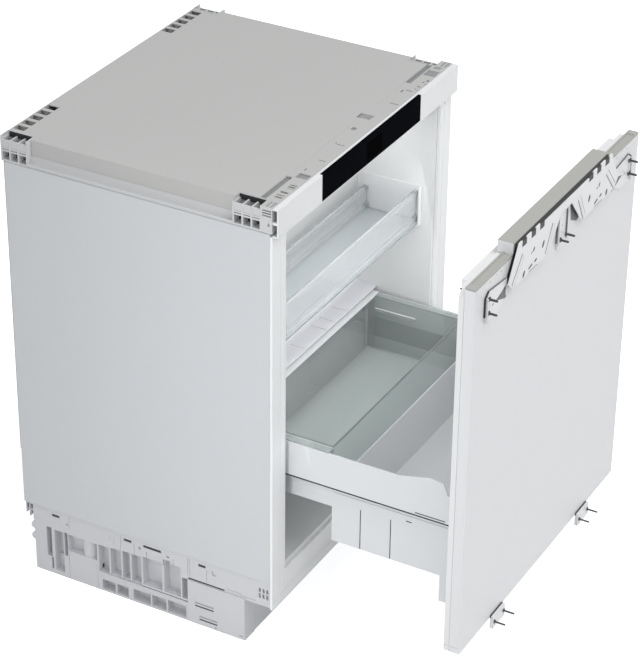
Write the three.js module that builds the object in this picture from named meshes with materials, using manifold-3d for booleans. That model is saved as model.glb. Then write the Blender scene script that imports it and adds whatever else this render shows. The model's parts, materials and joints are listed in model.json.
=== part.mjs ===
// Undercounter drawer refrigerator, without its furniture front, with the drawer pulled partly out.
// Millimetres, +Z up, the front faces -Y. The origin is on the floor under the middle of the cabinet.
import * as THREE from "three";
import { mergeVertices } from "three/addons/utils/BufferGeometryUtils.js";
import Module from "manifold-3d";

const wasm = await Module();
wasm.setup();

// ---------------------------------------------------------------- driving dimensions

// Cabinet as a whole
const CABINET_WIDTH = 597;
const CABINET_HEIGHT = 820;
const CABINET_DEPTH = 500; // face of the fascia to the rear edge of the top
const BASE_HEIGHT = 134; // floor to the lower edge of the side panels
const TOP_HEIGHT = 43; // the plastic top, above the steel shell
const REAR_SETBACK = 5; // the steel shell ends this far in front of the top's rear edge
const DRAWER_OPEN = 297; // how far out the drawer stands
const SHEET = 1; // steel sheet
const MOULDING = 2.5; // wall of the plastic mouldings
const FIT = 0.3; // between pieces that are seated on each other

// Front frame, fascia and controls
const FASCIA_HEIGHT = 48;
const FASCIA_DEPTH = 10;
const CONTROL_WIDTH = 327;
const CONTROL_DEPTH = 5;
const CONTROL_BORDER = 1.5; // white edge left below the control panel
const DISPLAY_WIDTH = 50;
const DISPLAY_HEIGHT = 30;
const DISPLAY_OFFSET = 5; // to the right of the middle
const DISPLAY_DROP = 10; // below the top edge
const DISPLAY_THICKNESS = 1;
const FRAME_THICKNESS = 4;
const FRAME_BAND = 41.5; // outer edge of the frame to its opening
const FRAME_BOTTOM = 83;
const SILL_HEIGHT = 140;
const LINTEL = 10; // lower edge of the fascia to the opening

// Inner liner and insulation
const LINER_WALL = 2;
const LINER_STEP = 5; // the liner stands this far inside the frame's opening
const LINER_FLANGE = 12;
const LINER_FLOOR = 150;
const STEP_INSULATION = 30; // between the machine room and the step in the liner's floor
const LINER_STEP_HEIGHT = 268;
const REAR_INSULATION = 66; // liner to the rear edge of the top
const SHELL_FLANGE = 14;

// Machine room
const MACHINE_DEPTH = 215; // from the rear edge of the top
const MACHINE_HEIGHT = 240;

// Plastic top
const TOP_INSET = 10.5; // the top panel stands in from the sides
const TOP_RAIL_DEPTH = 35;
const CORNER_WIDTH = 24;
const FRONT_CORNER_LENGTH = 69;
const CORNER_CELLS = 3;
const CELL_LENGTH = 12.8;
const CELL_RIB = 3;
const CELL_HEIGHT = 19;
const CELL_WALL = 3.5; // outer wall of the open cells
const PANEL_SINK = 1; // the panels in that wall lie this deep
const SOCKET_HEIGHT = 14;
const SOCKET_DEPTH = 14;
const CORNER_LOUVRES = 2;
const CORNER_LOUVRE_PITCH = 7;
const CORNER_LOUVRE_LENGTH = 3.5;
const SIDE_COVE = 14; // height of the hollow curve between the ledge and the top's side
const REAR_POCKETS = 5;
const REAR_POCKET_WIDTH = 13.7;
const REAR_POCKET_RIB = 7.5;
const REAR_POCKET_LENGTH = 23;
// Slots in the front rail: middle, width across, then from, to along the depth.
const RAIL_SLOTS = [
  [-257, 12, 15, 28],
  [-243, 5, 15, 28],
  [-222, 14, 14, 26],
  [-183, 20, 13, 33],
  [111, 8, 14, 26],
  [164, 14, 14, 30],
  [188, 8, 14, 26],
  [216, 10, 13, 26],
  [245, 22, 13, 33],
];
const SIDE_LEDGE = 2;
const SIDE_LIP = 5;

// Cold air housing at the rear of the liner
const HOUSING_FACE = 160; // fascia face to the housing's upright wall
const HOUSING_LIP = 42; // the housing's lower edge reaches this far forward of the wall
const HOUSING_BOTTOM = 388;
const HOUSING_WALL = 3.2;
const HOUSING_COVE = 16;
const GRILLE_SLOTS = 7;
const GRILLE_SLOT_WIDTH = 84;
const GRILLE_SLOT_HEIGHT = 5;
const GRILLE_PITCH = 11;
const RETURN_SLOTS = 5;
const RETURN_SLOT_WIDTH = 60;
const RETURN_SLOT_LENGTH = 10;
const RETURN_PITCH = 85;
const FAN_DROP = 72; // liner ceiling to the fan's axis
const FAN_FRAME = 116;
const FAN_FRAME_DEPTH = 25;
const FAN_BORE = 53;
const FAN_RADIUS = 50;
const FAN_HUB = 19;
const FAN_HUB_DEPTH = 12;
const FAN_MOTOR_DEPTH = 10;
const FAN_BLADES = 7;
const FAN_BLADE_CHORD = 15;
const FAN_BLADE_THICKNESS = 1.6;
const FAN_BLADE_PITCH = Math.PI / 5;
const FAN_SPOKES = 3;
const FAN_SPOKE_WIDTH = 5;
const FAN_SPOKE_DEPTH = 4;
const EVAPORATOR_WIDTH = 340;
const EVAPORATOR_DEPTH = 80;
const EVAPORATOR_HEIGHT = 190;
const EVAPORATOR_LIFT = 40; // above the housing's floor
const FIN_THICKNESS = 2;
const FIN_COUNT = 9;
const COIL_TUBE = 4; // tube radius
const COIL_TUBES = 3;

// Rack in the upper compartment
const RACK_FRONT = 38;
const RACK_DEPTH = 109;
const RACK_BOTTOM = 534;
const RACK_PLATE_HEIGHT = 72;
const RACK_PLATE = 2.5;
const RACK_SHELF_SEAT = 12;
const RACK_GLASS = 5;
const RACK_WALL = 3;
const RACK_RAIL = 8;
const RACK_FRONT_HEIGHT = 56;
const RACK_REAR_HEIGHT = 42;
const RACK_INSET = 3; // guards' rails from the ends of the end plates

// Base
const SKIRT_INSET = 3; // the skirts stand in from the sides
const SKIRT_THICKNESS = 30;
const SKIRT_FRONT = 63;
const SKIRT_REAR = 478;
const POCKET_DEPTH = 14;
// Pockets in a skirt's outer face: from, to along the depth, then from, to in height.
const SKIRT_POCKETS = [
  [444, 453, 34, 94],
  [420, 438, 9, 92],
  [328, 349, 38, 93],
  [304, 325, 40, 95],
  [286, 301, 40, 97],
  [264, 283, 40, 97],
  [223, 261, 43, 100],
  [187, 219, 43, 104],
  [317, 343, 4, 24],
  [291, 314, 4, 24],
  [247, 281, 4, 26],
  [216, 244, 4, 27],
  [177, 213, 4, 28],
];
// Clip slots in the band above the pockets, and louvres at the front: from, to along the depth.
const BAND_SLOTS = [
  [426, 441],
  [282, 297],
  [224, 259],
  [138, 152],
];
const BAND_SLOT_BOTTOM = 119;
const BAND_SLOT_HEIGHT = 5;
const BAND_SLOT_DEPTH = 5;
const LOUVRE_COUNT = 3;
const LOUVRE_FRONT = 19;
const LOUVRE_PITCH = 7;
const LOUVRE_LENGTH = 4;
const LOUVRE_BOTTOM = 98;
const LOUVRE_HEIGHT = 20;
const FOOT_POSITIONS = [100, 373]; // along the depth
const FOOT_BAY = [352, 410, 58, 92]; // open bay around the rear foot's boss
const FOOT_BOSS = 14;
const FOOT_ROD = 4;
const FOOT_ROD_LENGTH = 62;
const FOOT_PAD = 11;
const FOOT_PAD_HEIGHT = 8;
const FOOT_RISE = 1; // the foot, screwed right in, stands this far above the floor
const FOOT_PLAY = 0.5; // around the rod and the pad
const FOOT_HEADROOM = 4;
const COVER_LENGTH = 109;
const COVER_BOTTOM = 2;
const COVER_HEIGHT = 84;
const COVER_THICKNESS = 2;
const COVER_SLOTS = [
  [122, 158, 39],
  [122, 158, 45],
  [115, 150, 13],
  [115, 150, 19],
]; // from, to along the depth, and the height of each
const COVER_SLOT_HEIGHT = 3;
const PLINTH_THICKNESS = 3;
const PLINTH_SLOTS = 12;
const PLINTH_SLOT_WIDTH = 26;
const PLINTH_SLOT_HEIGHT = 8;
const PLINTH_PITCH = 38;
const PLINTH_SLOT_BOTTOM = 40;
const FLOOR_PLATE = 3;
const REAR_HOOK = 7; // radius of the two hooks for the cord at the left rear
const REAR_HOOK_HEIGHTS = [66, 88];
const REAR_HOOK_LENGTH = 20;

// Machine room pieces
const COMPRESSOR_RADIUS = 70;
const COMPRESSOR_HEIGHT = 160;
const COMPRESSOR_CLEARANCE = 45; // mounting plate to the left skirt
// Outline of the compressor's can, as fractions of its radius and height
const COMPRESSOR_PROFILE = [
  [0, 0],
  [0.85, 0],
  [1, 0.15],
  [1, 0.7],
  [0.85, 0.88],
  [0.45, 1],
  [0, 1],
];
const COMPRESSOR_PLATE_WIDTH = 180;
const COMPRESSOR_PLATE_DEPTH = 110;
const GROMMET_RADIUS = 9;
const GROMMET_HEIGHT = 7;
const TRAY_WIDTH = 160;
const TRAY_DEPTH = 140;
const TRAY_HEIGHT = 22;
const CONDENSER_WIDTH = 200;
const CONDENSER_DEPTH = 120;
const CONDENSER_HEIGHT = 146;
const CONDENSER_CLEARANCE = 26; // fins to the right skirt
const INLET_WIDTH = 24;
const INLET_HEIGHT = 28;
const INLET_DEPTH = 14;
const INLET_BOTTOM = 60;
const INLET_RECESS = 10;
const INLET_RIM = 3;

// Telescopic rails, hidden behind the drawer's side panels
const RAIL_BOTTOM = 319;
const RAIL_HEIGHT = 27;
const RAIL_DEPTH = 9;
const RAIL_SHEET = 1.2;
const RAIL_PLAY = 0.6; // ball tracks between the rail's members
const RAIL_FRONT = 20;
const RAIL_REAR_CLEARANCE = 7; // to the liner
const RAIL_WEB_GAP = 1.2; // drawer member's web, clear of the fixed member
const RAIL_SIDE_GAP = 0.8; // fixed member to the drawer's side panel
const RAIL_SEAT_GAP = 3; // fixed member to the drawer member's seat above it
const RAIL_ARM_TOP = 312; // the fixed member's arm reaches the liner under the side panel
const RAIL_ARM_FLANGE = 26; // height of the arm's flange on the liner

// Drawer
const DRAWER_SIDE_GAP = 7; // liner to the drawer's side panel
const DRAWER_SIDE = 2.5;
const DRAWER_SIDE_BOTTOM = 316;
const DRAWER_SIDE_HEIGHT = 65;
const DRAWER_REAR_CLEARANCE = 12; // closed drawer to the liner
// The side panel's hump near the door: distance from the door, and height above the panel's edge
const SIDE_HUMP = [
  [112, 0],
  [81, 8],
  [58, 13],
  [36, 10],
  [28, -10],
  [0, -10],
];
const CROSS_RAIL_DEPTH = 30;
const CROSS_RAIL_HEIGHT = 3;
const CROSS_RAIL_SETBACK = 10;
const BIN_WALL = 3;
const BIN_LENGTH = 184;
const BIN_HEIGHT = 106;
const BIN_LIP = 2.7;
const BIN_RIM = 15;
const BIN_HANDLE_LENGTH = 78;
const BIN_HANDLE_REAR = 20;
const BIN_HANDLE_DROP = 25;
const BIN_HANDLE_HEIGHT = 6;
const BIN_HANDLE_DEPTH = 7;
const BOTTLE_WALL = 2.5;
const BOTTLE_INSET = 13; // outer face of the side panel to the bottle bin
const BOTTLE_DOOR_GAP = 2;
const BOTTLE_FLOOR = 208;
const BOTTLE_WELL_BOTTOM = 159;
const BOTTLE_WELL_DEPTH = 41;
const BOTTLE_TOP = 302.5;
const BOTTLE_END_RISE = 11; // its front and rear walls are higher than its sides
const WING_HEIGHT = 29; // the bottle bin's sides run on as wings below the rear bin

// Door
const DOOR_THICKNESS = 27;
const DOOR_CLEARANCE = 2; // door's back to the fascia's face, closed
const DOOR_BOTTOM = 122;
const DOOR_TOP_DROP = 46; // below the cabinet's top
const DOOR_FRONT_RADIUS = 3;
const DOOR_BACK_RADIUS = 20;
const DOOR_SKIN = 1.5;
const DOOR_BACK = 9.5;
const GASKET_WIDTH = 8;
const GASKET_OFFSET = 1; // outside the frame's opening
const GASKET_CLEARANCE = 0.5; // to the frame, closed
const TOP_BAR_WIDTH = 345;
const TOP_BAR_HEIGHT = 20.7;
const TOP_CAP_THICKNESS = 3.5;
const TOP_CAP_MARGIN = 1; // to the door's side
const TOP_TRAY_DEPTH = 2; // sunk into the flat ends of the trim
const TOP_TRAY_RIM = 3;
const TOP_TRAY_END = 14; // to the door's side
const TRAVERSE_SHEET = 2;
const TRAVERSE_STANDOFF = 6; // clear of the door's front
// Heights on the traverse and the brackets are taken from the door's top edge.
const TRAVERSE_TOP = 22;
const TRAVERSE_BOTTOM = -47;
const TRAVERSE_TOP_HALF = 170;
const TRAVERSE_BOTTOM_HALF = 202;
const TRAVERSE_CORNER = 14;
const VEE_TOP = 3;
const VEE_TOP_HALF = 20;
const VEE_BOTTOM_HALF = 62;
const NOTCH_POSITIONS = [90, 120, 152];
const NOTCH_WIDTH = 16;
const NOTCH_DEPTH = 12;
const TRAVERSE_HOLES = [
  [85, -20, 5, 10],
  [120, -12, 4, 5],
  [118, -36, 10, 4],
  [150, -38, 5, 6],
]; // distance from the middle, height, half width, half height
const TRAVERSE_FOOT = 4;
const TRAVERSE_FOOT_POSITION = 104;
const TRAVERSE_FOOT_HEIGHT = 40;
const BRACKET_SHEET = 2;
const END_BRACKET_WIDTH = 70;
const END_BRACKET_MARGIN = 32.5; // to the door's side
const END_BRACKET_BOTTOM = -68;
const END_BRACKET_TOP = -17;
const END_BRACKET_TAPER = 16;
const BOLT_RADIUS = 2.5;
const BOLT_LENGTH = 18;
const END_BOLT_INSET = 23; // from the bracket's outer edge
const END_BOLT_HEIGHTS = [-62, -36];
const CENTRE_BRACKET_HALF = 17;
const CENTRE_BRACKET_BOTTOM = -66;
const CENTRE_BRACKET_TOP = 8;
const CENTRE_BOLT_HALF = 10;
const CENTRE_BOLT_HEIGHT = -52;
const CLAMP_MARGIN = 133.5; // the clamp's middle to the door's side
const CLAMP_WIDTH = 44;
const CLAMP_HEIGHT = 24;
const CLAMP_DEPTH = 6;
const CLAMP_DROP = 20; // below the door's lower edge
const CLAMP_SCREW_INSET = 5;
const CLAMP_SCREW_LENGTH = 20;
const CLAMP_SCREW_RADIUS = 1.8;

// ---------------------------------------------------------------- derived sizes

const halfWidth = CABINET_WIDTH / 2;
const fasciaBottom = CABINET_HEIGHT - FASCIA_HEIGHT;
const frameBack = FASCIA_DEPTH + FRAME_THICKNESS;
const frameTop = fasciaBottom - FIT;
const openingHalf = halfWidth - FRAME_BAND;
const openingTop = fasciaBottom - LINTEL;
const shellFront = frameBack + FIT;
const shellRear = CABINET_DEPTH - REAR_SETBACK;
const shellTop = CABINET_HEIGHT - TOP_HEIGHT;
const shellInner = halfWidth - SHEET - FIT;
const lidBottom = shellTop - FIT - SHEET;
const linerHalf = openingHalf - LINER_STEP;
const linerRear = CABINET_DEPTH - REAR_INSULATION;
const linerRearFace = linerRear - LINER_WALL;
const machineFront = CABINET_DEPTH - MACHINE_DEPTH;
const skirtOuter = halfWidth - SKIRT_INSET;
const skirtInner = skirtOuter - SKIRT_THICKNESS;
const topHalf = halfWidth - TOP_INSET;
const topRailRear = FASCIA_DEPTH + TOP_RAIL_DEPTH;
const cornerInner = halfWidth - CORNER_WIDTH;
const frontCornerFront = FASCIA_DEPTH + FIT;
const frontCornerRear = frontCornerFront + FRONT_CORNER_LENGTH;
const cellPitch = CELL_LENGTH + CELL_RIB;
const rearCornerFront = CABINET_DEPTH - CORNER_CELLS * cellPitch - CELL_RIB;
const linerStepRear = machineFront - STEP_INSULATION;
const compressorX = COMPRESSOR_CLEARANCE + COMPRESSOR_PLATE_WIDTH / 2 - skirtInner;
const condenserX = skirtInner - CONDENSER_CLEARANCE - CONDENSER_WIDTH / 2;
const fanHeight = openingTop - FAN_DROP;
const fanFrameFront = HOUSING_FACE + HOUSING_WALL + FIT;
const fanFrameRear = fanFrameFront + FAN_FRAME_DEPTH;
const fanMotorFront = fanFrameRear - FAN_MOTOR_DEPTH;
const doorTop = CABINET_HEIGHT - DOOR_TOP_DROP;
const doorBack = -DOOR_CLEARANCE;
const doorFront = doorBack - DOOR_THICKNESS;
const drawerFront = doorBack + FIT;
const drawerRear = linerRearFace - DRAWER_REAR_CLEARANCE;
const sideOuter = linerHalf - DRAWER_SIDE_GAP;
const sideInner = sideOuter - DRAWER_SIDE;
const sideTop = DRAWER_SIDE_BOTTOM + DRAWER_SIDE_HEIGHT;
const railRear = linerRearFace - RAIL_REAR_CLEARANCE;
const railOuter = sideInner - RAIL_SIDE_GAP;
const railInner = railOuter - RAIL_DEPTH;
const railTop = RAIL_BOTTOM + RAIL_HEIGHT;
const webOuter = railInner - RAIL_WEB_GAP;
const webInner = webOuter - RAIL_SHEET;
const seatTop = railTop + RAIL_SEAT_GAP + RAIL_SHEET;
const bottleHalf = sideOuter - BOTTLE_INSET;
const bottleFront = drawerFront + BOTTLE_DOOR_GAP;
const wingBottom = BOTTLE_TOP - WING_HEIGHT;
const binHalf = Math.min(webInner, bottleHalf - BOTTLE_WALL) - FIT;
const binTop = sideTop + FIT + BIN_LIP;
const binFront = drawerRear - BIN_LENGTH;

// ---------------------------------------------------------------- colours

const LOOKS = {
  fasciaWhite: { color: 0xe8e9e9, roughness: 0.4, metalness: 0 },
  sidePaint: { color: 0xc4c6c9, roughness: 0.5, metalness: 0.1 },
  topGrey: { color: 0xbababa, roughness: 0.6, metalness: 0 },
  topEdge: { color: 0xd0d2d4, roughness: 0.55, metalness: 0 },
  baseGrey: { color: 0xcfd1d3, roughness: 0.55, metalness: 0 },
  blackGloss: { color: 0x0d0e10, roughness: 0.15, metalness: 0 },
  displayBlack: { color: 0x030304, roughness: 0.1, metalness: 0 },
  linerWhite: { color: 0xdadfe2, roughness: 0.4, metalness: 0 },
  clear: { color: 0xb4bdbc, roughness: 0.1, metalness: 0 },
  drawerWhite: { color: 0xe0e2e4, roughness: 0.4, metalness: 0 },
  doorPaint: { color: 0xe0e0e2, roughness: 0.45, metalness: 0 },
  doorTrim: { color: 0xb8b8b4, roughness: 0.5, metalness: 0 },
  steel: { color: 0xb0b3b5, roughness: 0.35, metalness: 0.9 },
  galvanised: { color: 0xa0a4a6, roughness: 0.45, metalness: 0.9 },
  aluminium: { color: 0xc4c8ca, roughness: 0.35, metalness: 0.9 },
  foam: { color: 0xe6d8a8, roughness: 0.95, metalness: 0 },
  gasketGrey: { color: 0xbfc3c5, roughness: 0.7, metalness: 0 },
  compressorBlack: { color: 0x1a1b1c, roughness: 0.5, metalness: 0.4 },
  rubberBlack: { color: 0x222222, roughness: 0.85, metalness: 0 },
};

// ---------------------------------------------------------------- shapes

const SIDES = [
  [-1, "left"],
  [1, "right"],
];
const PAST = 1; // tools reach this far past the face that they cut through
const GRID = 1e-3; // points are snapped to it, so that flush faces are exactly flush
const SLIVER = 5e-3; // edges and steps smaller than this are cleaned away
// Facets of small, medium and large rounds
const SMALL_ROUND = 8;
const ROUND = 16;
const LARGE_ROUND = 24;
const CURVE = 5; // facets of a quarter turn

// Box from three [from, to] spans.
function box(x, y, z) {
  const geometry = new THREE.BoxGeometry(x[1] - x[0], y[1] - y[0], z[1] - z[0]);
  return geometry.translate((x[0] + x[1]) / 2, (y[0] + y[1]) / 2, (z[0] + z[1]) / 2);
}

// The span from `near` to `far` off the middle, on the left (-1) or right (1) side.
function across(side, near, far) {
  return side > 0 ? [near, far] : [-far, -near];
}

// The span of a width centred on a value.
function centred(middle, width) {
  return [middle - width / 2, middle + width / 2];
}

// A flat shape pushed along an axis. The shape's two coordinates are the other two axes, in order.
const EXTRUDE_TURNS = {
  x: new THREE.Matrix4().makeBasis(
    new THREE.Vector3(0, 1, 0),
    new THREE.Vector3(0, 0, 1),
    new THREE.Vector3(1, 0, 0),
  ),
  y: new THREE.Matrix4().makeBasis(
    new THREE.Vector3(1, 0, 0),
    new THREE.Vector3(0, 0, 1),
    new THREE.Vector3(0, -1, 0),
  ),
  z: new THREE.Matrix4(),
};

function extrude(axis, shape, span, curveSegments = CURVE) {
  const depth = span[1] - span[0];
  const geometry = new THREE.ExtrudeGeometry(shape, { depth, curveSegments, bevelEnabled: false });
  geometry.applyMatrix4(EXTRUDE_TURNS[axis]);
  if (axis === "x") return geometry.translate(span[0], 0, 0);
  if (axis === "y") return geometry.translate(0, span[1], 0);
  return geometry.translate(0, 0, span[0]);
}

function outline(points) {
  return new THREE.Shape(points.map(([u, v]) => new THREE.Vector2(u, v)));
}

// An outline given for the right side, mirrored for the left one.
function sidedOutline(side, points) {
  return outline(points.map(([u, v]) => [side * u, v]));
}

// Rectangle with its own radius for the two lower and the two upper corners.
function roundedRectangle(half, bottom, top, lowerRadius, upperRadius) {
  const shape = new THREE.Shape();
  const quarter = Math.PI / 2;
  shape.absarc(half - lowerRadius, bottom + lowerRadius, lowerRadius, -quarter, 0, false);
  shape.absarc(half - upperRadius, top - upperRadius, upperRadius, 0, quarter, false);
  shape.absarc(upperRadius - half, top - upperRadius, upperRadius, quarter, 2 * quarter, false);
  shape.absarc(lowerRadius - half, bottom + lowerRadius, lowerRadius, 2 * quarter, 3 * quarter, false);
  return shape;
}

// Cylinder along an axis, from its centre line's position in the other two axes.
function cylinder(axis, u, v, span, radius, sides = ROUND) {
  const geometry = new THREE.CylinderGeometry(radius, radius, span[1] - span[0], sides);
  const middle = (span[0] + span[1]) / 2;
  if (axis === "x") return geometry.rotateZ(Math.PI / 2).translate(middle, u, v);
  if (axis === "y") return geometry.translate(u, middle, v);
  return geometry.rotateX(Math.PI / 2).translate(u, v, middle);
}

function toSolid(geometry) {
  const bare = geometry.clone();
  bare.deleteAttribute("normal");
  bare.deleteAttribute("uv");
  const points = bare.attributes.position.array;
  points.forEach((value, i) => {
    points[i] = Math.round(value / GRID) * GRID;
  });
  const merged = mergeVertices(bare, GRID / 2);
  return new wasm.Manifold(
    new wasm.Mesh({
      numProp: 3,
      vertProperties: new Float32Array(merged.attributes.position.array),
      triVerts: new Uint32Array(merged.index.array),
    }),
  );
}

function toGeometry(solid) {
  const mesh = solid.simplify(SLIVER).getMesh();
  const geometry = new THREE.BufferGeometry();
  geometry.setAttribute("position", new THREE.BufferAttribute(mesh.vertProperties, 3));
  geometry.setIndex(new THREE.BufferAttribute(mesh.triVerts, 1));
  geometry.computeVertexNormals();
  return geometry;
}

function join(...geometries) {
  return toGeometry(geometries.map(toSolid).reduce((all, next) => all.add(next)));
}

function cut(geometry, ...tools) {
  const whole = toSolid(geometry);
  return toGeometry(tools.map(toSolid).reduce((rest, tool) => rest.subtract(tool), whole));
}

function addPiece(group, name, geometry, look) {
  const mesh = new THREE.Mesh(geometry, new THREE.MeshStandardMaterial(LOOKS[look]));
  mesh.name = name;
  group.add(mesh);
  return mesh;
}

// ---------------------------------------------------------------- steel shell, liner, insulation

function addSidePanels(group) {
  const edge = halfWidth - SHELL_FLANGE;
  const skin = halfWidth - SHEET;
  for (const [side, label] of SIDES) {
    const profile = sidedOutline(side, [
      [edge, shellFront],
      [halfWidth, shellFront],
      [halfWidth, shellRear],
      [edge, shellRear],
      [edge, shellRear - SHEET],
      [skin, shellRear - SHEET],
      [skin, shellFront + SHEET],
      [edge, shellFront + SHEET],
    ]);
    const geometry = extrude("z", profile, [BASE_HEIGHT + FIT, lidBottom - FIT]);
    addPiece(group, `side_panel_${label}`, geometry, "sidePaint");
  }
}

// One sheet folded over the top and the rear, and one around the machine room and under the insulation.
function addShellPlates(group) {
  const plateRear = shellRear - SHEET - FIT;
  const rearFace = shellRear + FIT;
  const lid = outline([
    [shellFront, lidBottom],
    [rearFace, lidBottom],
    [rearFace, MACHINE_HEIGHT],
    [rearFace + SHEET, MACHINE_HEIGHT],
    [rearFace + SHEET, lidBottom + SHEET],
    [shellFront, lidBottom + SHEET],
  ]);
  addPiece(group, "shell_lid_and_rear", extrude("x", lid, [-halfWidth, halfWidth]), "galvanised");

  const coverFront = machineFront - SHEET;
  const cover = outline([
    [shellFront, FRAME_BOTTOM],
    [machineFront, FRAME_BOTTOM],
    [machineFront, MACHINE_HEIGHT],
    [plateRear, MACHINE_HEIGHT],
    [plateRear, MACHINE_HEIGHT + SHEET],
    [coverFront, MACHINE_HEIGHT + SHEET],
    [coverFront, FRAME_BOTTOM + SHEET],
    [shellFront, FRAME_BOTTOM + SHEET],
  ]);
  const skirtRoom = SIDES.map(([side]) =>
    box(
      across(side, skirtInner - FIT, halfWidth + PAST),
      [0, machineFront + PAST],
      [FRAME_BOTTOM - PAST, BASE_HEIGHT + FIT],
    ),
  );
  const geometry = cut(extrude("x", cover, [-shellInner, shellInner]), ...skirtRoom);
  addPiece(group, "machine_room_cover", geometry, "galvanised");
}

// The liner's outer faces, grown by a distance, as two boxes: over the step, and in front of it.
function linerBoxes(grow, front) {
  const half = linerHalf + grow;
  const top = openingTop + grow;
  return [
    box([-half, half], [front, linerStepRear + grow], [LINER_FLOOR - grow, top]),
    box([-half, half], [front, linerRearFace + grow], [LINER_STEP_HEIGHT - grow, top]),
  ];
}

function addInsulation(group) {
  const front = shellFront + LINER_WALL + FIT;
  const rear = shellRear - SHEET - FIT;
  const block = join(
    box([-shellInner, shellInner], [front, rear], [BASE_HEIGHT + FIT, lidBottom - FIT]),
    box(
      [FIT - skirtInner, skirtInner - FIT],
      [front, machineFront - SHEET - FIT],
      [FRAME_BOTTOM + SHEET + FIT, BASE_HEIGHT + PAST],
    ),
  );
  const machineRoom = box(
    [-halfWidth, halfWidth],
    [machineFront - SHEET - FIT, CABINET_DEPTH],
    [0, MACHINE_HEIGHT + SHEET + FIT],
  );
  const geometry = cut(block, ...linerBoxes(LINER_WALL + FIT, 0), machineRoom);
  addPiece(group, "insulation_foam", geometry, "foam");
}

function addInnerLiner(group) {
  const flange = box(
    [-linerHalf - LINER_FLANGE, linerHalf + LINER_FLANGE],
    [shellFront, shellFront + LINER_WALL],
    [LINER_FLOOR - LINER_FLANGE, frameTop],
  );
  const tub = join(flange, ...linerBoxes(LINER_WALL, shellFront));
  addPiece(group, "inner_liner", cut(tub, ...linerBoxes(0, 0)), "linerWhite");
}

function addFrontFrame(group) {
  const plate = box([-halfWidth, halfWidth], [FASCIA_DEPTH, frameBack], [FRAME_BOTTOM, frameTop]);
  const opening = box(
    [-openingHalf, openingHalf],
    [FASCIA_DEPTH - PAST, frameBack + PAST],
    [SILL_HEIGHT, openingTop],
  );
  addPiece(group, "front_frame", cut(plate, opening), "fasciaWhite");
}

function addFascia(group) {
  const controlHalf = CONTROL_WIDTH / 2;
  const controlBottom = fasciaBottom + CONTROL_BORDER;
  const inner = [fasciaBottom + MOULDING, CABINET_HEIGHT - MOULDING];
  const bar = box([-halfWidth, halfWidth], [0, FASCIA_DEPTH], [fasciaBottom, CABINET_HEIGHT]);
  const recess = box(
    [-controlHalf - FIT, controlHalf + FIT],
    [-PAST, CONTROL_DEPTH + FIT],
    [controlBottom, CABINET_HEIGHT + PAST],
  );
  const behind = box(
    [MOULDING - controlHalf, controlHalf - MOULDING],
    [CONTROL_DEPTH + FIT + MOULDING, FASCIA_DEPTH + PAST],
    inner,
  );
  const hollows = SIDES.map(([side]) =>
    box(
      across(side, controlHalf + FIT + MOULDING, halfWidth + PAST),
      [MOULDING, FASCIA_DEPTH + PAST],
      inner,
    ),
  );
  addPiece(group, "fascia", cut(bar, recess, behind, ...hollows), "fasciaWhite");

  const displayTop = CABINET_HEIGHT - DISPLAY_DROP;
  const panel = box(
    [-controlHalf, controlHalf],
    [0, CONTROL_DEPTH],
    [controlBottom + FIT, CABINET_HEIGHT],
  );
  const pocket = box(
    centred(DISPLAY_OFFSET, DISPLAY_WIDTH + 2 * FIT),
    [-PAST, DISPLAY_THICKNESS + FIT],
    [displayTop - DISPLAY_HEIGHT - FIT, displayTop + FIT],
  );
  addPiece(group, "control_panel", cut(panel, pocket), "blackGloss");
  const display = box(
    centred(DISPLAY_OFFSET, DISPLAY_WIDTH),
    [0, DISPLAY_THICKNESS],
    [displayTop - DISPLAY_HEIGHT, displayTop],
  );
  addPiece(group, "display_window", display, "displayBlack");
}

// ---------------------------------------------------------------- plastic top

// Plan of the top panel: a rectangle with its corners cut out for the corner blocks.
function topPlan(inset) {
  const wide = topHalf - inset;
  const narrow = cornerInner - FIT - inset;
  const front = topRailRear + FIT + inset;
  const rear = CABINET_DEPTH - inset;
  const frontNotch = frontCornerRear + FIT + inset;
  const rearNotch = rearCornerFront - FIT - inset;
  return outline([
    [-narrow, front],
    [narrow, front],
    [narrow, frontNotch],
    [wide, frontNotch],
    [wide, rearNotch],
    [narrow, rearNotch],
    [narrow, rear],
    [-narrow, rear],
    [-narrow, rearNotch],
    [-wide, rearNotch],
    [-wide, frontNotch],
    [-narrow, frontNotch],
  ]);
}

function addTopPanel(group) {
  const plate = extrude("z", topPlan(0), [shellTop, CABINET_HEIGHT]);
  const hollow = extrude("z", topPlan(MOULDING), [shellTop - PAST, CABINET_HEIGHT - MOULDING]);
  const pockets = [];
  for (const [side] of SIDES) {
    for (let i = 0; i < REAR_POCKETS; i++) {
      const outer = cornerInner - FIT - (i + 1) * REAR_POCKET_RIB - i * REAR_POCKET_WIDTH;
      pockets.push(
        box(
          across(side, outer - REAR_POCKET_WIDTH, outer),
          [CABINET_DEPTH - REAR_POCKET_LENGTH, CABINET_DEPTH - MOULDING],
          [CABINET_HEIGHT - MOULDING - PAST, CABINET_HEIGHT + PAST],
        ),
      );
    }
  }
  addPiece(group, "top_panel", cut(plate, hollow, ...pockets), "topGrey");
}

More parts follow.
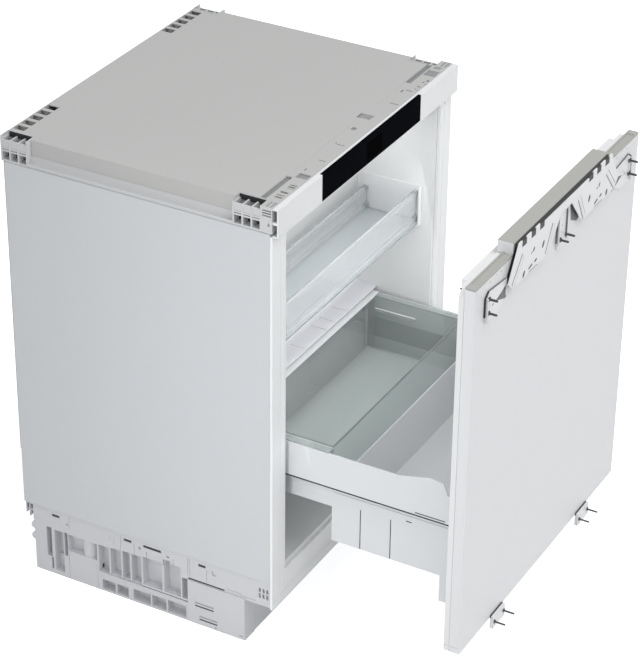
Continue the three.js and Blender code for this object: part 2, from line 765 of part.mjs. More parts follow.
// A corner block: cells open at the top behind sunk panels, and a square socket below each of them.
function cornerBlock(side, span, cellStart) {
  const cellSpan = across(side, cornerInner + CELL_RIB, halfWidth - CELL_WALL);
  const panelSpan = across(side, halfWidth - PANEL_SINK, halfWidth + PAST);
  const socketSpan = across(side, halfWidth - SOCKET_DEPTH, halfWidth + PAST);
  const cellZ = [CABINET_HEIGHT - CELL_HEIGHT, CABINET_HEIGHT + PAST];
  const socketZ = [shellTop + CELL_RIB, shellTop + CELL_RIB + SOCKET_HEIGHT];
  const tools = [];
  for (let i = 0; i < CORNER_CELLS; i++) {
    const from = cellStart + i * cellPitch;
    const y = [from, from + CELL_LENGTH];
    tools.push(box(cellSpan, y, cellZ), box(panelSpan, y, cellZ), box(socketSpan, y, socketZ));
  }
  return cut(box(across(side, cornerInner, halfWidth), span, [shellTop, CABINET_HEIGHT]), ...tools);
}

// The moulding along the front of the top, with a corner block at each end.
function addTopFrontRail(group) {
  const beam = box(
    [-cornerInner - PAST, cornerInner + PAST],
    [frontCornerFront, topRailRear],
    [shellTop, CABINET_HEIGHT],
  );
  const hollow = box(
    [MOULDING - cornerInner, cornerInner - MOULDING],
    [frontCornerFront + MOULDING, topRailRear - MOULDING],
    [shellTop - PAST, CABINET_HEIGHT - MOULDING],
  );
  const slotZ = [CABINET_HEIGHT - MOULDING - PAST, CABINET_HEIGHT + PAST];
  const slots = RAIL_SLOTS.map(([x, width, front, rear]) => box(centred(x, width), [front, rear], slotZ));
  const cellStart = frontCornerRear - CORNER_CELLS * cellPitch;
  const blocks = SIDES.map(([side]) => {
    const louvres = [];
    for (let i = 0; i < CORNER_LOUVRES; i++) {
      const from = frontCornerFront + CELL_RIB + i * CORNER_LOUVRE_PITCH;
      const span = across(side, cornerInner + CELL_RIB, halfWidth - CELL_RIB);
      louvres.push(box(span, [from, from + CORNER_LOUVRE_LENGTH], slotZ));
    }
    return cut(cornerBlock(side, [frontCornerFront, frontCornerRear], cellStart), ...louvres);
  });
  addPiece(group, "top_front_rail", join(cut(beam, hollow, ...slots), ...blocks), "topEdge");
}

// The ledges along the sides of the top, each with a corner block at its rear end.
function addTopSideRails(group) {
  const inner = topHalf + FIT;
  const ledgeTop = shellTop + SIDE_LEDGE;
  for (const [side, label] of SIDES) {
    const profile = new THREE.Shape();
    profile.moveTo(side * inner, shellTop);
    profile.lineTo(side * halfWidth, shellTop);
    profile.lineTo(side * halfWidth, shellTop + SIDE_LIP);
    profile.lineTo(side * (halfWidth - SIDE_LEDGE), shellTop + SIDE_LIP);
    profile.lineTo(side * (halfWidth - SIDE_LEDGE), ledgeTop);
    profile.quadraticCurveTo(side * inner, ledgeTop, side * inner, ledgeTop + SIDE_COVE);
    const ledge = extrude("y", profile, [frontCornerRear + FIT, rearCornerFront + PAST]);
    const block = cornerBlock(side, [rearCornerFront, CABINET_DEPTH], rearCornerFront + CELL_RIB);
    addPiece(group, `top_side_rail_${label}`, join(ledge, block), "topEdge");
  }
}

// ---------------------------------------------------------------- inside the liner

function addRearHousing(group) {
  const half = linerHalf - FIT;
  const lipFront = HOUSING_FACE - HOUSING_LIP;
  const floorTop = HOUSING_BOTTOM + HOUSING_WALL;
  const rear = linerRearFace - FIT;
  const top = openingTop - FIT;
  const profile = new THREE.Shape();
  profile.moveTo(lipFront, HOUSING_BOTTOM);
  profile.lineTo(rear, HOUSING_BOTTOM);
  profile.lineTo(rear, floorTop);
  profile.lineTo(HOUSING_FACE + HOUSING_WALL, floorTop);
  profile.lineTo(HOUSING_FACE + HOUSING_WALL, top);
  profile.lineTo(HOUSING_FACE, top);
  profile.lineTo(HOUSING_FACE, floorTop + HOUSING_COVE);
  profile.quadraticCurveTo(HOUSING_FACE, floorTop, HOUSING_FACE - HOUSING_COVE, floorTop);
  profile.lineTo(lipFront, floorTop);
  const body = extrude("x", profile, [-half, half]);
  const tools = [];
  for (let i = 0; i < GRILLE_SLOTS; i++) {
    const middle = fanHeight + (i - (GRILLE_SLOTS - 1) / 2) * GRILLE_PITCH;
    tools.push(
      box(
        centred(0, GRILLE_SLOT_WIDTH),
        [HOUSING_FACE - PAST, HOUSING_FACE + HOUSING_WALL + PAST],
        centred(middle, GRILLE_SLOT_HEIGHT),
      ),
    );
  }
  for (let i = 0; i < RETURN_SLOTS; i++) {
    const middle = (i - (RETURN_SLOTS - 1) / 2) * RETURN_PITCH;
    tools.push(
      box(
        centred(middle, RETURN_SLOT_WIDTH),
        centred((fanFrameRear + linerRearFace - EVAPORATOR_DEPTH) / 2, RETURN_SLOT_LENGTH),
        [HOUSING_BOTTOM - PAST, floorTop + PAST],
      ),
    );
  }
  addPiece(group, "rear_housing", cut(body, ...tools), "linerWhite");
}

function addFanMotor(group) {
  const y = [fanFrameFront, fanFrameRear];
  const frame = cut(
    box(centred(0, FAN_FRAME), y, centred(fanHeight, FAN_FRAME)),
    cylinder("y", 0, fanHeight, [y[0] - PAST, y[1] + PAST], FAN_BORE, LARGE_ROUND),
  );
  const parts = [frame, cylinder("y", 0, fanHeight, [fanMotorFront, fanFrameRear], FAN_HUB)];
  for (let i = 0; i < FAN_SPOKES; i++) {
    const depth = [fanFrameRear - FAN_SPOKE_DEPTH, fanFrameRear];
    const spoke = box(centred(0, FAN_SPOKE_WIDTH), depth, [0, FAN_BORE + PAST]);
    spoke.rotateY((i * 2 * Math.PI) / FAN_SPOKES);
    parts.push(spoke.translate(0, 0, fanHeight));
  }
  addPiece(group, "fan_motor", join(...parts), "rubberBlack");
}

// The fan wheel, in a group of its own at its axis.
function addFanWheel(group) {
  const wheel = new THREE.Group();
  const hubMiddle = fanMotorFront - FIT - FAN_HUB_DEPTH / 2;
  wheel.position.set(0, hubMiddle, fanHeight);
  const parts = [cylinder("y", 0, 0, centred(0, FAN_HUB_DEPTH), FAN_HUB)];
  for (let i = 0; i < FAN_BLADES; i++) {
    const reach = [FAN_HUB - PAST, FAN_RADIUS];
    const blade = box(centred(0, FAN_BLADE_CHORD), centred(0, FAN_BLADE_THICKNESS), reach);
    blade.rotateZ(FAN_BLADE_PITCH);
    blade.rotateY((i * 2 * Math.PI) / FAN_BLADES);
    parts.push(blade);
  }
  addPiece(wheel, "circulation_fan", join(...parts), "drawerWhite");
  group.add(wheel);
}

// A block of fins on tubes that run across the width.
function finnedCoil(x, y, z) {
  const parts = [];
  const pitch = (x[1] - x[0] - FIN_THICKNESS) / (FIN_COUNT - 1);
  for (let i = 0; i < FIN_COUNT; i++) {
    const from = x[0] + i * pitch;
    parts.push(box([from, from + FIN_THICKNESS], y, z));
  }
  for (let i = 0; i < COIL_TUBES; i++) {
    const height = z[0] + ((i + 0.5) * (z[1] - z[0])) / COIL_TUBES;
    const overhang = 2 * COIL_TUBE;
    const span = [x[0] - overhang, x[1] + overhang];
    parts.push(cylinder("x", (y[0] + y[1]) / 2, height, span, COIL_TUBE, SMALL_ROUND));
  }
  return join(...parts);
}

function addEvaporator(group) {
  const bottom = HOUSING_BOTTOM + HOUSING_WALL + EVAPORATOR_LIFT;
  const rear = linerRearFace - FIT;
  const coil = finnedCoil(
    centred(0, EVAPORATOR_WIDTH),
    [rear - EVAPORATOR_DEPTH, rear],
    [bottom, bottom + EVAPORATOR_HEIGHT],
  );
  addPiece(group, "evaporator", coil, "aluminium");
}

function addRack(group) {
  const outer = linerHalf - FIT;
  const plateInner = outer - RACK_PLATE;
  const y = [RACK_FRONT, RACK_FRONT + RACK_DEPTH];
  const seatHeight = RACK_BOTTOM + RACK_PLATE;
  const glassBottom = seatHeight + FIT;
  const glassTop = glassBottom + RACK_GLASS;
  for (const [side, label] of SIDES) {
    const profile = sidedOutline(side, [
      [outer - RACK_SHELF_SEAT, RACK_BOTTOM],
      [outer, RACK_BOTTOM],
      [outer, RACK_BOTTOM + RACK_PLATE_HEIGHT],
      [plateInner, RACK_BOTTOM + RACK_PLATE_HEIGHT],
      [plateInner, seatHeight],
      [outer - RACK_SHELF_SEAT, seatHeight],
    ]);
    addPiece(group, `rack_end_plate_${label}`, extrude("y", profile, y), "fasciaWhite");
  }
  const span = [FIT - plateInner, plateInner - FIT];
  addPiece(group, "rack_glass_shelf", box(span, y, [glassBottom, glassTop]), "clear");

  // Both guards are a thin wall with a thicker rail along the top and the bottom.
  const guards = [
    ["rack_front_guard", y[0] + RACK_INSET, RACK_FRONT_HEIGHT],
    ["rack_rear_guard", y[1] - RACK_INSET - RACK_RAIL, RACK_REAR_HEIGHT],
  ];
  for (const [name, front, height] of guards) {
    const wallFront = front + (RACK_RAIL - RACK_WALL) / 2;
    const bottom = glassTop + FIT;
    const geometry = join(
      box(span, [wallFront, wallFront + RACK_WALL], [bottom, bottom + height]),
      box(span, [front, front + RACK_RAIL], [bottom, bottom + RACK_RAIL]),
      box(span, [front, front + RACK_RAIL], [bottom + height - RACK_RAIL, bottom + height]),
    );
    addPiece(group, name, geometry, "clear");
  }
}

// ---------------------------------------------------------------- base and machine room

function footAxis(side) {
  return side * (skirtInner + SKIRT_THICKNESS / 2);
}

function addBaseSkirts(group) {
  const face = skirtOuter - POCKET_DEPTH;
  for (const [side, label] of SIDES) {
    const profile = outline([
      [SKIRT_FRONT, 0],
      [SKIRT_REAR, 0],
      [SKIRT_REAR, BASE_HEIGHT],
      [shellFront, BASE_HEIGHT],
      [shellFront, FRAME_BOTTOM + SHEET],
      [SKIRT_FRONT, FRAME_BOTTOM + SHEET],
    ]);
    const body = extrude("x", profile, across(side, skirtInner, skirtOuter));
    const pocketSpan = across(side, face, skirtOuter + PAST);
    const pockets = [...SKIRT_POCKETS, FOOT_BAY].map(([y0, y1, z0, z1]) =>
      box(pocketSpan, [y0, y1], [z0, z1]),
    );
    const slotSpan = across(side, skirtOuter - BAND_SLOT_DEPTH, skirtOuter + PAST);
    const slotZ = [BAND_SLOT_BOTTOM, BAND_SLOT_BOTTOM + BAND_SLOT_HEIGHT];
    const louvreZ = [LOUVRE_BOTTOM, LOUVRE_BOTTOM + LOUVRE_HEIGHT];
    const slots = BAND_SLOTS.map((y) => box(slotSpan, y, slotZ));
    for (let i = 0; i < LOUVRE_COUNT; i++) {
      const from = LOUVRE_FRONT + i * LOUVRE_PITCH;
      slots.push(box(slotSpan, [from, from + LOUVRE_LENGTH], louvreZ));
    }
    const bossZ = [FOOT_BAY[2] - PAST, FOOT_BAY[3] + PAST];
    const boss = cylinder("z", footAxis(side), FOOT_POSITIONS[1], bossZ, FOOT_BOSS);
    const additions = [boss];
    if (side < 0) {
      for (const height of REAR_HOOK_HEIGHTS) {
        const span = across(side, skirtOuter - REAR_HOOK_LENGTH, skirtOuter);
        additions.push(cylinder("x", SKIRT_REAR, height, span, REAR_HOOK));
      }
    }
    const padTop = FOOT_RISE + FOOT_PAD_HEIGHT;
    const rodHole = [-PAST, padTop + FOOT_ROD_LENGTH + FOOT_HEADROOM];
    const padHole = [-PAST, padTop + FOOT_PLAY];
    const footHoles = FOOT_POSITIONS.flatMap((y) => [
      cylinder("z", footAxis(side), y, rodHole, FOOT_ROD + FOOT_PLAY),
      cylinder("z", footAxis(side), y, padHole, FOOT_PAD + FOOT_PLAY),
    ]);
    const geometry = cut(join(cut(body, ...pockets, ...slots), ...additions), ...footHoles);
    addPiece(group, `base_skirt_${label}`, geometry, "baseGrey");
  }
}

function addSkirtCovers(group) {
  const inner = skirtOuter + FIT;
  for (const [side, label] of SIDES) {
    const plate = box(
      across(side, inner, inner + COVER_THICKNESS),
      [SKIRT_FRONT, SKIRT_FRONT + COVER_LENGTH],
      [COVER_BOTTOM, COVER_BOTTOM + COVER_HEIGHT],
    );
    const slotSpan = across(side, inner - PAST, inner + COVER_THICKNESS + PAST);
    const slots = COVER_SLOTS.map(([y0, y1, z]) => box(slotSpan, [y0, y1], centred(z, COVER_SLOT_HEIGHT)));
    addPiece(group, `skirt_cover_${label}`, cut(plate, ...slots), "baseGrey");
  }
}

function addPlinthAndFloor(group) {
  const span = [FIT - skirtInner, skirtInner - FIT];
  const plinthRear = SKIRT_FRONT + PLINTH_THICKNESS;
  const plinth = box(span, [SKIRT_FRONT, plinthRear], [COVER_BOTTOM, FRAME_BOTTOM - FIT]);
  const slots = [];
  for (let i = 0; i < PLINTH_SLOTS; i++) {
    const middle = (i - (PLINTH_SLOTS - 1) / 2) * PLINTH_PITCH;
    slots.push(
      box(
        centred(middle, PLINTH_SLOT_WIDTH),
        [SKIRT_FRONT - PAST, plinthRear + PAST],
        [PLINTH_SLOT_BOTTOM, PLINTH_SLOT_BOTTOM + PLINTH_SLOT_HEIGHT],
      ),
    );
  }
  addPiece(group, "plinth_panel", cut(plinth, ...slots), "baseGrey");
  const floor = box(span, [plinthRear + FIT, SKIRT_REAR], [0, FLOOR_PLATE]);
  addPiece(group, "base_floor", floor, "galvanised");
}

function addFeet(group) {
  for (const [side, label] of SIDES) {
    FOOT_POSITIONS.forEach((y, i) => {
      const foot = new THREE.Group();
      foot.position.set(footAxis(side), y, FOOT_RISE);
      const geometry = join(
        cylinder("z", 0, 0, [0, FOOT_PAD_HEIGHT], FOOT_PAD),
        cylinder("z", 0, 0, [PAST, FOOT_PAD_HEIGHT + FOOT_ROD_LENGTH], FOOT_ROD),
      );
      addPiece(foot, `foot_${i === 0 ? "front" : "rear"}_${label}`, geometry, "rubberBlack");
      group.add(foot);
    });
  }
}

function addMachineRoom(group) {
  const middleY = (machineFront + shellRear) / 2;
  const bottom = FLOOR_PLATE + FIT;
  const plateBottom = bottom + GROMMET_HEIGHT;
  const profile = COMPRESSOR_PROFILE.map(
    ([r, h]) => new THREE.Vector2(r * COMPRESSOR_RADIUS, h * COMPRESSOR_HEIGHT),
  );
  const can = new THREE.LatheGeometry(profile, LARGE_ROUND).rotateX(Math.PI / 2);
  can.translate(compressorX, middleY, plateBottom);
  const parts = [
    can,
    box(
      centred(compressorX, COMPRESSOR_PLATE_WIDTH),
      centred(middleY, COMPRESSOR_PLATE_DEPTH),
      [plateBottom, plateBottom + FLOOR_PLATE],
    ),
  ];
  for (const sideX of [-1, 1]) {
    for (const sideY of [-1, 1]) {
      parts.push(
        cylinder(
          "z",
          compressorX + sideX * (COMPRESSOR_PLATE_WIDTH / 2 - GROMMET_RADIUS),
          middleY + sideY * (COMPRESSOR_PLATE_DEPTH / 2 - GROMMET_RADIUS),
          [bottom, plateBottom + PAST],
          GROMMET_RADIUS,
          SMALL_ROUND,
        ),
      );
    }
  }
  addPiece(group, "compressor", join(...parts), "compressorBlack");

  const trayBottom = plateBottom + COMPRESSOR_HEIGHT + FIT;
  const trayTop = trayBottom + TRAY_HEIGHT;
  const tray = cut(
    box(centred(compressorX, TRAY_WIDTH), centred(middleY, TRAY_DEPTH), [trayBottom, trayTop]),
    box(
      centred(compressorX, TRAY_WIDTH - 2 * MOULDING),
      centred(middleY, TRAY_DEPTH - 2 * MOULDING),
      [trayBottom + MOULDING, trayTop + PAST],
    ),
  );
  addPiece(group, "drip_tray", tray, "rubberBlack");

  const condenser = finnedCoil(
    centred(condenserX, CONDENSER_WIDTH),
    centred(middleY, CONDENSER_DEPTH),
    [bottom, bottom + CONDENSER_HEIGHT],
  );
  addPiece(group, "condenser", condenser, "galvanised");

  const inletX = skirtInner + SKIRT_THICKNESS / 2;
  const inlet = cut(
    box(
      centred(inletX, INLET_WIDTH),
      [SKIRT_REAR + FIT, SKIRT_REAR + FIT + INLET_DEPTH],
      [INLET_BOTTOM, INLET_BOTTOM + INLET_HEIGHT],
    ),
    box(
      centred(inletX, INLET_WIDTH - 2 * INLET_RIM),
      [SKIRT_REAR + FIT + INLET_DEPTH - INLET_RECESS, SKIRT_REAR + INLET_DEPTH + PAST],
      [INLET_BOTTOM + INLET_RIM, INLET_BOTTOM + INLET_HEIGHT - INLET_RIM],
    ),
  );
  addPiece(group, "power_inlet", inlet, "rubberBlack");
}

// ---------------------------------------------------------------- telescopic rails

// C-shaped member that is open towards the middle of the cabinet, inset from the fixed member's outline.
function railMember(side, inset, arm, span) {
  const outer = railOuter - inset;
  const bottom = RAIL_BOTTOM + inset;
  const top = railTop - inset;
  const profile = sidedOutline(side, [
    [railInner, top],
    [outer, top],
    ...arm,
    [outer - RAIL_SHEET, bottom],
    [railInner, bottom],
    [railInner, bottom + RAIL_SHEET],
    [outer - RAIL_SHEET, bottom + RAIL_SHEET],
    [outer - RAIL_SHEET, top - RAIL_SHEET],
    [railInner, top - RAIL_SHEET],
  ]);
  return extrude("y", profile, span);
}

function addRails(cabinet, middle, drawer) {
  const step = RAIL_SHEET + RAIL_PLAY;
  const span = [RAIL_FRONT, railRear];
  // The fixed member's web runs down, out under the drawer's side panel, and down along the liner.
  const linerFace = linerHalf - FIT;
  const armBottom = RAIL_ARM_TOP - RAIL_SHEET;
  const arm = [
    [railOuter, RAIL_ARM_TOP],
    [linerFace, RAIL_ARM_TOP],
    [linerFace, RAIL_ARM_TOP - RAIL_ARM_FLANGE],
    [linerFace - RAIL_SHEET, RAIL_ARM_TOP - RAIL_ARM_FLANGE],
    [linerFace - RAIL_SHEET, armBottom],
    [railOuter - RAIL_SHEET, armBottom],
  ];
  const middleFoot = [[railOuter - step, RAIL_BOTTOM + step]];
  for (const [side, label] of SIDES) {
    addPiece(cabinet, `rail_fixed_${label}`, railMember(side, 0, arm, span), "steel");
    addPiece(middle, `rail_middle_${label}`, railMember(side, step, middleFoot, span), "steel");

    // The drawer's member opens outwards. Its web stands on the bottle bin's wing and ends in a seat above.
    const flangeOuter = railOuter - step - RAIL_SHEET - RAIL_PLAY;
    const flangeBottom = RAIL_BOTTOM + 2 * step;
    const flangeTop = railTop - 2 * step;
    const profile = sidedOutline(side, [
      [webInner, BOTTLE_TOP + FIT],
      [webOuter, BOTTLE_TOP + FIT],
      [webOuter, flangeBottom],
      [flangeOuter, flangeBottom],
      [flangeOuter, flangeBottom + RAIL_SHEET],
      [webOuter, flangeBottom + RAIL_SHEET],
      [webOuter, flangeTop - RAIL_SHEET],
      [flangeOuter, flangeTop - RAIL_SHEET],
      [flangeOuter, flangeTop],
      [webOuter, flangeTop],
      [webOuter, seatTop - RAIL_SHEET],
      [sideInner - FIT, seatTop - RAIL_SHEET],
      [sideInner - FIT, seatTop],
      [webInner, seatTop],
    ]);
    const geometry = extrude("y", profile, [drawerFront, drawerRear]);
    addPiece(drawer, `rail_drawer_${label}`, geometry, "steel");
  }
}

// ---------------------------------------------------------------- drawer

function addDrawerSides(drawer) {
  const profile = outline([
    [drawerFront, DRAWER_SIDE_BOTTOM],
    [drawerRear, DRAWER_SIDE_BOTTOM],
    [drawerRear, sideTop],
    ...SIDE_HUMP.map(([distance, rise]) => [drawerFront + distance, sideTop + rise]),
  ]);
  for (const [side, label] of SIDES) {
    const panel = extrude("x", profile, across(side, sideInner, sideOuter));
    addPiece(drawer, `drawer_side_${label}`, panel, "drawerWhite");
  }
}

function addCrossRail(drawer) {
  const rear = drawerRear - CROSS_RAIL_SETBACK;
  const bar = box(
    [-bottleHalf, bottleHalf],
    [rear - CROSS_RAIL_DEPTH, rear],
    [wingBottom - FIT - CROSS_RAIL_HEIGHT, wingBottom - FIT],
  );
  addPiece(drawer, "drawer_cross_rail", bar, "steel");
}

function addGlassBin(drawer) {
  const bottom = binTop - BIN_HEIGHT;
  const inner = binHalf - BIN_WALL;
  const rimFront = drawerRear - BIN_RIM;
  const rimSpan = [FIT - sideOuter, sideOuter - FIT];
  const y = [binFront, drawerRear];
  const body = join(
    box([-binHalf, binHalf], y, [bottom, binTop]),
    box(rimSpan, y, [sideTop + FIT, binTop]),
  );
  const hollow = box(
    [-inner, inner],
    [binFront + BIN_WALL, drawerRear - BIN_WALL],
    [bottom + BIN_WALL, binTop + PAST],
  );
  const rimSeat = box([-halfWidth, halfWidth], [rimFront, drawerRear + PAST], [sideTop, binTop + PAST]);
  const rim = box(rimSpan, [rimFront + FIT, drawerRear], [sideTop + FIT, binTop]);
  addPiece(drawer, "bin_rear_rim", rim, "drawerWhite");

  const handleRear = drawerRear - BIN_HANDLE_REAR;
  const handleTop = binTop - BIN_HANDLE_DROP + BIN_HANDLE_HEIGHT;
  const handle = box(
    [inner - BIN_HANDLE_DEPTH, inner + PAST],
    [handleRear - BIN_HANDLE_LENGTH, handleRear],
    [handleTop - BIN_HANDLE_HEIGHT, handleTop],
  );
  addPiece(drawer, "glass_bin", join(cut(body, hollow, rimSeat), handle), "clear");
}

// Depth and height outline of the bottle bin, grown inwards by its wall.
function bottleProfile(inset, top) {
  const front = bottleFront + inset;
  const rear = binFront - FIT - inset;
  const wellRear = bottleFront + BOTTLE_WELL_DEPTH - inset;
  return outline([
    [front, BOTTLE_WELL_BOTTOM + inset],
    [wellRear, BOTTLE_WELL_BOTTOM + inset],
    [wellRear, BOTTLE_FLOOR + inset],
    [rear, BOTTLE_FLOOR + inset],
    [rear, top],
    [front, top],
  ]);
}

function addBottleBin(drawer) {
  const inner = bottleHalf - BOTTLE_WALL;
  const endTop = BOTTLE_TOP + BOTTLE_END_RISE;
  const endRear = binFront - FIT;
  const ends = box([-binHalf, binHalf], [bottleFront, endRear], [BOTTLE_TOP - PAST, endTop]);
  const wings = SIDES.map(([side]) =>
    box(across(side, inner, bottleHalf), [endRear - PAST, drawerRear], [wingBottom, BOTTLE_TOP]),
  );
  const body = join(extrude("x", bottleProfile(0, BOTTLE_TOP), [-bottleHalf, bottleHalf]), ends, ...wings);
  const hollow = extrude("x", bottleProfile(BOTTLE_WALL, BOTTLE_TOP), [-inner, inner]);
  const mouth = box(
    [-halfWidth, halfWidth],
    [bottleFront + BOTTLE_WALL, endRear - BOTTLE_WALL],
    [BOTTLE_TOP - PAST, endTop + PAST],
  );
  addPiece(drawer, "bottle_bin", cut(body, hollow, mouth), "drawerWhite");
}

// ---------------------------------------------------------------- door

function doorPlate(inset, topRadius, y) {
  const shape = roundedRectangle(
    halfWidth - inset,
    DOOR_BOTTOM + inset,
    doorTop - inset,
    DOOR_FRONT_RADIUS - inset,
    topRadius - inset,
  );
  return extrude("y", shape, y);
}

// Front and back are two trays that meet at a seam, filled with insulation.
function addDoorPanels(drawer) {
  const seam = doorBack - DOOR_BACK;
  const foamInset = DOOR_SKIN + FIT;
  const front = cut(
    doorPlate(0, DOOR_FRONT_RADIUS, [doorFront, seam]),
    doorPlate(DOOR_SKIN, DOOR_FRONT_RADIUS, [doorFront + DOOR_SKIN, seam + PAST]),
  );
  addPiece(drawer, "door_front_panel", front, "doorPaint");
  const back = cut(
    doorPlate(0, DOOR_BACK_RADIUS, [seam + FIT, doorBack]),
    doorPlate(DOOR_SKIN, DOOR_BACK_RADIUS, [seam - PAST, doorBack - DOOR_SKIN]),
  );
  addPiece(drawer, "door_back_panel", back, "linerWhite");
  const foam = doorPlate(foamInset, DOOR_BACK_RADIUS, [doorFront + foamInset, doorBack - foamInset]);
  addPiece(drawer, "door_insulation", foam, "foam");
}

function addGasket(drawer) {
  const y = [drawerFront, FASCIA_DEPTH - GASKET_CLEARANCE];
  const ring = (grow, span) =>
    box(
      [-openingHalf - grow, openingHalf + grow],
      span,
      [SILL_HEIGHT - grow, openingTop + grow],
    );
  const geometry = cut(
    ring(GASKET_OFFSET + GASKET_WIDTH, y),
    ring(GASKET_OFFSET, [y[0] - PAST, y[1] + PAST]),
  );
  addPiece(drawer, "door_gasket", geometry, "gasketGrey");
}

// Trim along the door's top edge: a raised bar in the middle, and a flat end with a sunk tray on each side.
function addDoorTop(drawer) {
  const half = TOP_BAR_WIDTH / 2;
  const bottom = doorTop + FIT;
  const top = bottom + TOP_BAR_HEIGHT;
  const bar = box([-half, half], [doorFront, doorBack], [bottom, top]);
  const hollow = box(
    [MOULDING - half, half - MOULDING],
    [doorFront + MOULDING, doorBack - MOULDING],
    [bottom - PAST, top - MOULDING],
  );
  const capTop = bottom + TOP_CAP_THICKNESS;
  const capRear = doorBack - DOOR_BACK;
  const caps = SIDES.map(([side]) => {
    const capSpan = across(side, half - PAST, halfWidth - TOP_CAP_MARGIN);
    const traySpan = across(side, half, halfWidth - TOP_TRAY_END);
    const trayY = [doorFront + TOP_TRAY_RIM, capRear - TOP_TRAY_RIM];
    return cut(
      box(capSpan, [doorFront, capRear], [bottom, capTop]),
      box(traySpan, trayY, [capTop - TOP_TRAY_DEPTH, capTop + PAST]),
    );
  });
  addPiece(drawer, "door_top_trim", cut(join(bar, ...caps), hollow), "doorTrim");
}

// Sheet that carries the furniture front: a wide hanger with a V cut out of its middle.
function addTraverse(drawer) {
  const rear = doorFront - TRAVERSE_STANDOFF;
  const y = [rear - TRAVERSE_SHEET, rear];
  const top = doorTop + TRAVERSE_TOP;
  const bottom = doorTop + TRAVERSE_BOTTOM;
  const veeTop = doorTop + VEE_TOP;
  const right = [
    [VEE_BOTTOM_HALF, bottom],
    [TRAVERSE_BOTTOM_HALF - TRAVERSE_CORNER, bottom],
    [TRAVERSE_BOTTOM_HALF, bottom + TRAVERSE_CORNER],
    [TRAVERSE_TOP_HALF, top],
  ];
  const left = right.map(([x, z]) => [-x, z]).reverse();
  const plate = outline([
    [VEE_TOP_HALF, veeTop],
    ...right,
    ...left,
    [-VEE_TOP_HALF, veeTop],
  ]);
  const through = [y[0] - PAST, y[1] + PAST];
  const feet = [];
  const tools = [];
  for (const [side] of SIDES) {
    const footX = centred(side * TRAVERSE_FOOT_POSITION, TRAVERSE_FOOT);
    const footZ = [bottom, bottom + TRAVERSE_FOOT_HEIGHT];
    feet.push(box(footX, [y[0], doorFront - FIT], footZ));
    for (const x of NOTCH_POSITIONS) {
      const notchZ = [top - NOTCH_DEPTH, top + PAST];
      tools.push(box(centred(side * x, NOTCH_WIDTH), through, notchZ));
    }
    for (const [x, z, halfX, halfZ] of TRAVERSE_HOLES) {
      const hole = new THREE.Shape().absellipse(side * x, doorTop + z, halfX, halfZ, 0, 2 * Math.PI);
      tools.push(extrude("y", hole, through));
    }
  }
  const geometry = join(cut(extrude("y", plate, y), ...tools), ...feet);
  addPiece(drawer, "mounting_traverse", geometry, "fasciaWhite");
}

// Adjusting bolts stand out of each bracket, towards the furniture front.
function bolts(places, front, length, radius) {
  const span = [front - length, front + PAST];
  return places.map(([x, z]) => cylinder("y", x, z, span, radius, SMALL_ROUND));
}

function addBrackets(drawer) {
  const y = [doorFront - FIT - BRACKET_SHEET, doorFront - FIT];
  const bottom = doorTop + END_BRACKET_BOTTOM;
  const top = doorTop + END_BRACKET_TOP;
  const outer = halfWidth - END_BRACKET_MARGIN;
  const inner = outer - END_BRACKET_WIDTH;
  for (const [side, label] of SIDES) {
    const profile = sidedOutline(side, [
      [inner, bottom + END_BRACKET_TAPER],
      [inner + 2 * END_BRACKET_TAPER, bottom],
      [outer, bottom],
      [outer, top],
      [inner, top - END_BRACKET_TAPER / 2],
    ]);
    const places = END_BOLT_HEIGHTS.map((z) => [side * (outer - END_BOLT_INSET), doorTop + z]);
    const geometry = join(extrude("y", profile, y), ...bolts(places, y[0], BOLT_LENGTH, BOLT_RADIUS));
    addPiece(drawer, `end_bracket_${label}`, geometry, "steel");
  }

  const places = [-1, 1].map((side) => [side * CENTRE_BOLT_HALF, doorTop + CENTRE_BOLT_HEIGHT]);
  const centreZ = [doorTop + CENTRE_BRACKET_BOTTOM, doorTop + CENTRE_BRACKET_TOP];
  const centre = join(
    box([-CENTRE_BRACKET_HALF, CENTRE_BRACKET_HALF], y, centreZ),
    ...bolts(places, y[0], BOLT_LENGTH, BOLT_RADIUS),
  );
  addPiece(drawer, "centre_bracket", centre, "steel");

  const clampFront = doorFront - FIT - CLAMP_DEPTH;
  const clampBottom = DOOR_BOTTOM - CLAMP_DROP;
  for (const [side, label] of SIDES) {
    const middle = side * (halfWidth - CLAMP_MARGIN);
    const half = CLAMP_WIDTH / 2 - CLAMP_SCREW_INSET;
    const screwPlaces = [-1, 1].map((end) => [middle + end * half, clampBottom + CLAMP_HEIGHT / 2]);
    const clampZ = [clampBottom, clampBottom + CLAMP_HEIGHT];
    const clamp = join(
      box(centred(middle, CLAMP_WIDTH), [clampFront, doorFront - FIT], clampZ),
      ...bolts(screwPlaces, clampFront, CLAMP_SCREW_LENGTH, CLAMP_SCREW_RADIUS),
    );
    addPiece(drawer, `door_clamp_${label}`, clamp, "steel");
  }
}

// ---------------------------------------------------------------- assembly

const refrigerator = new THREE.Group();
const cabinet = new THREE.Group();
const middleRails = new THREE.Group();
const drawer = new THREE.Group();
middleRails.position.y = -DRAWER_OPEN / 2;
drawer.position.y = -DRAWER_OPEN;
refrigerator.add(cabinet, middleRails, drawer);
refrigerator.position.y = -CABINET_DEPTH / 2;

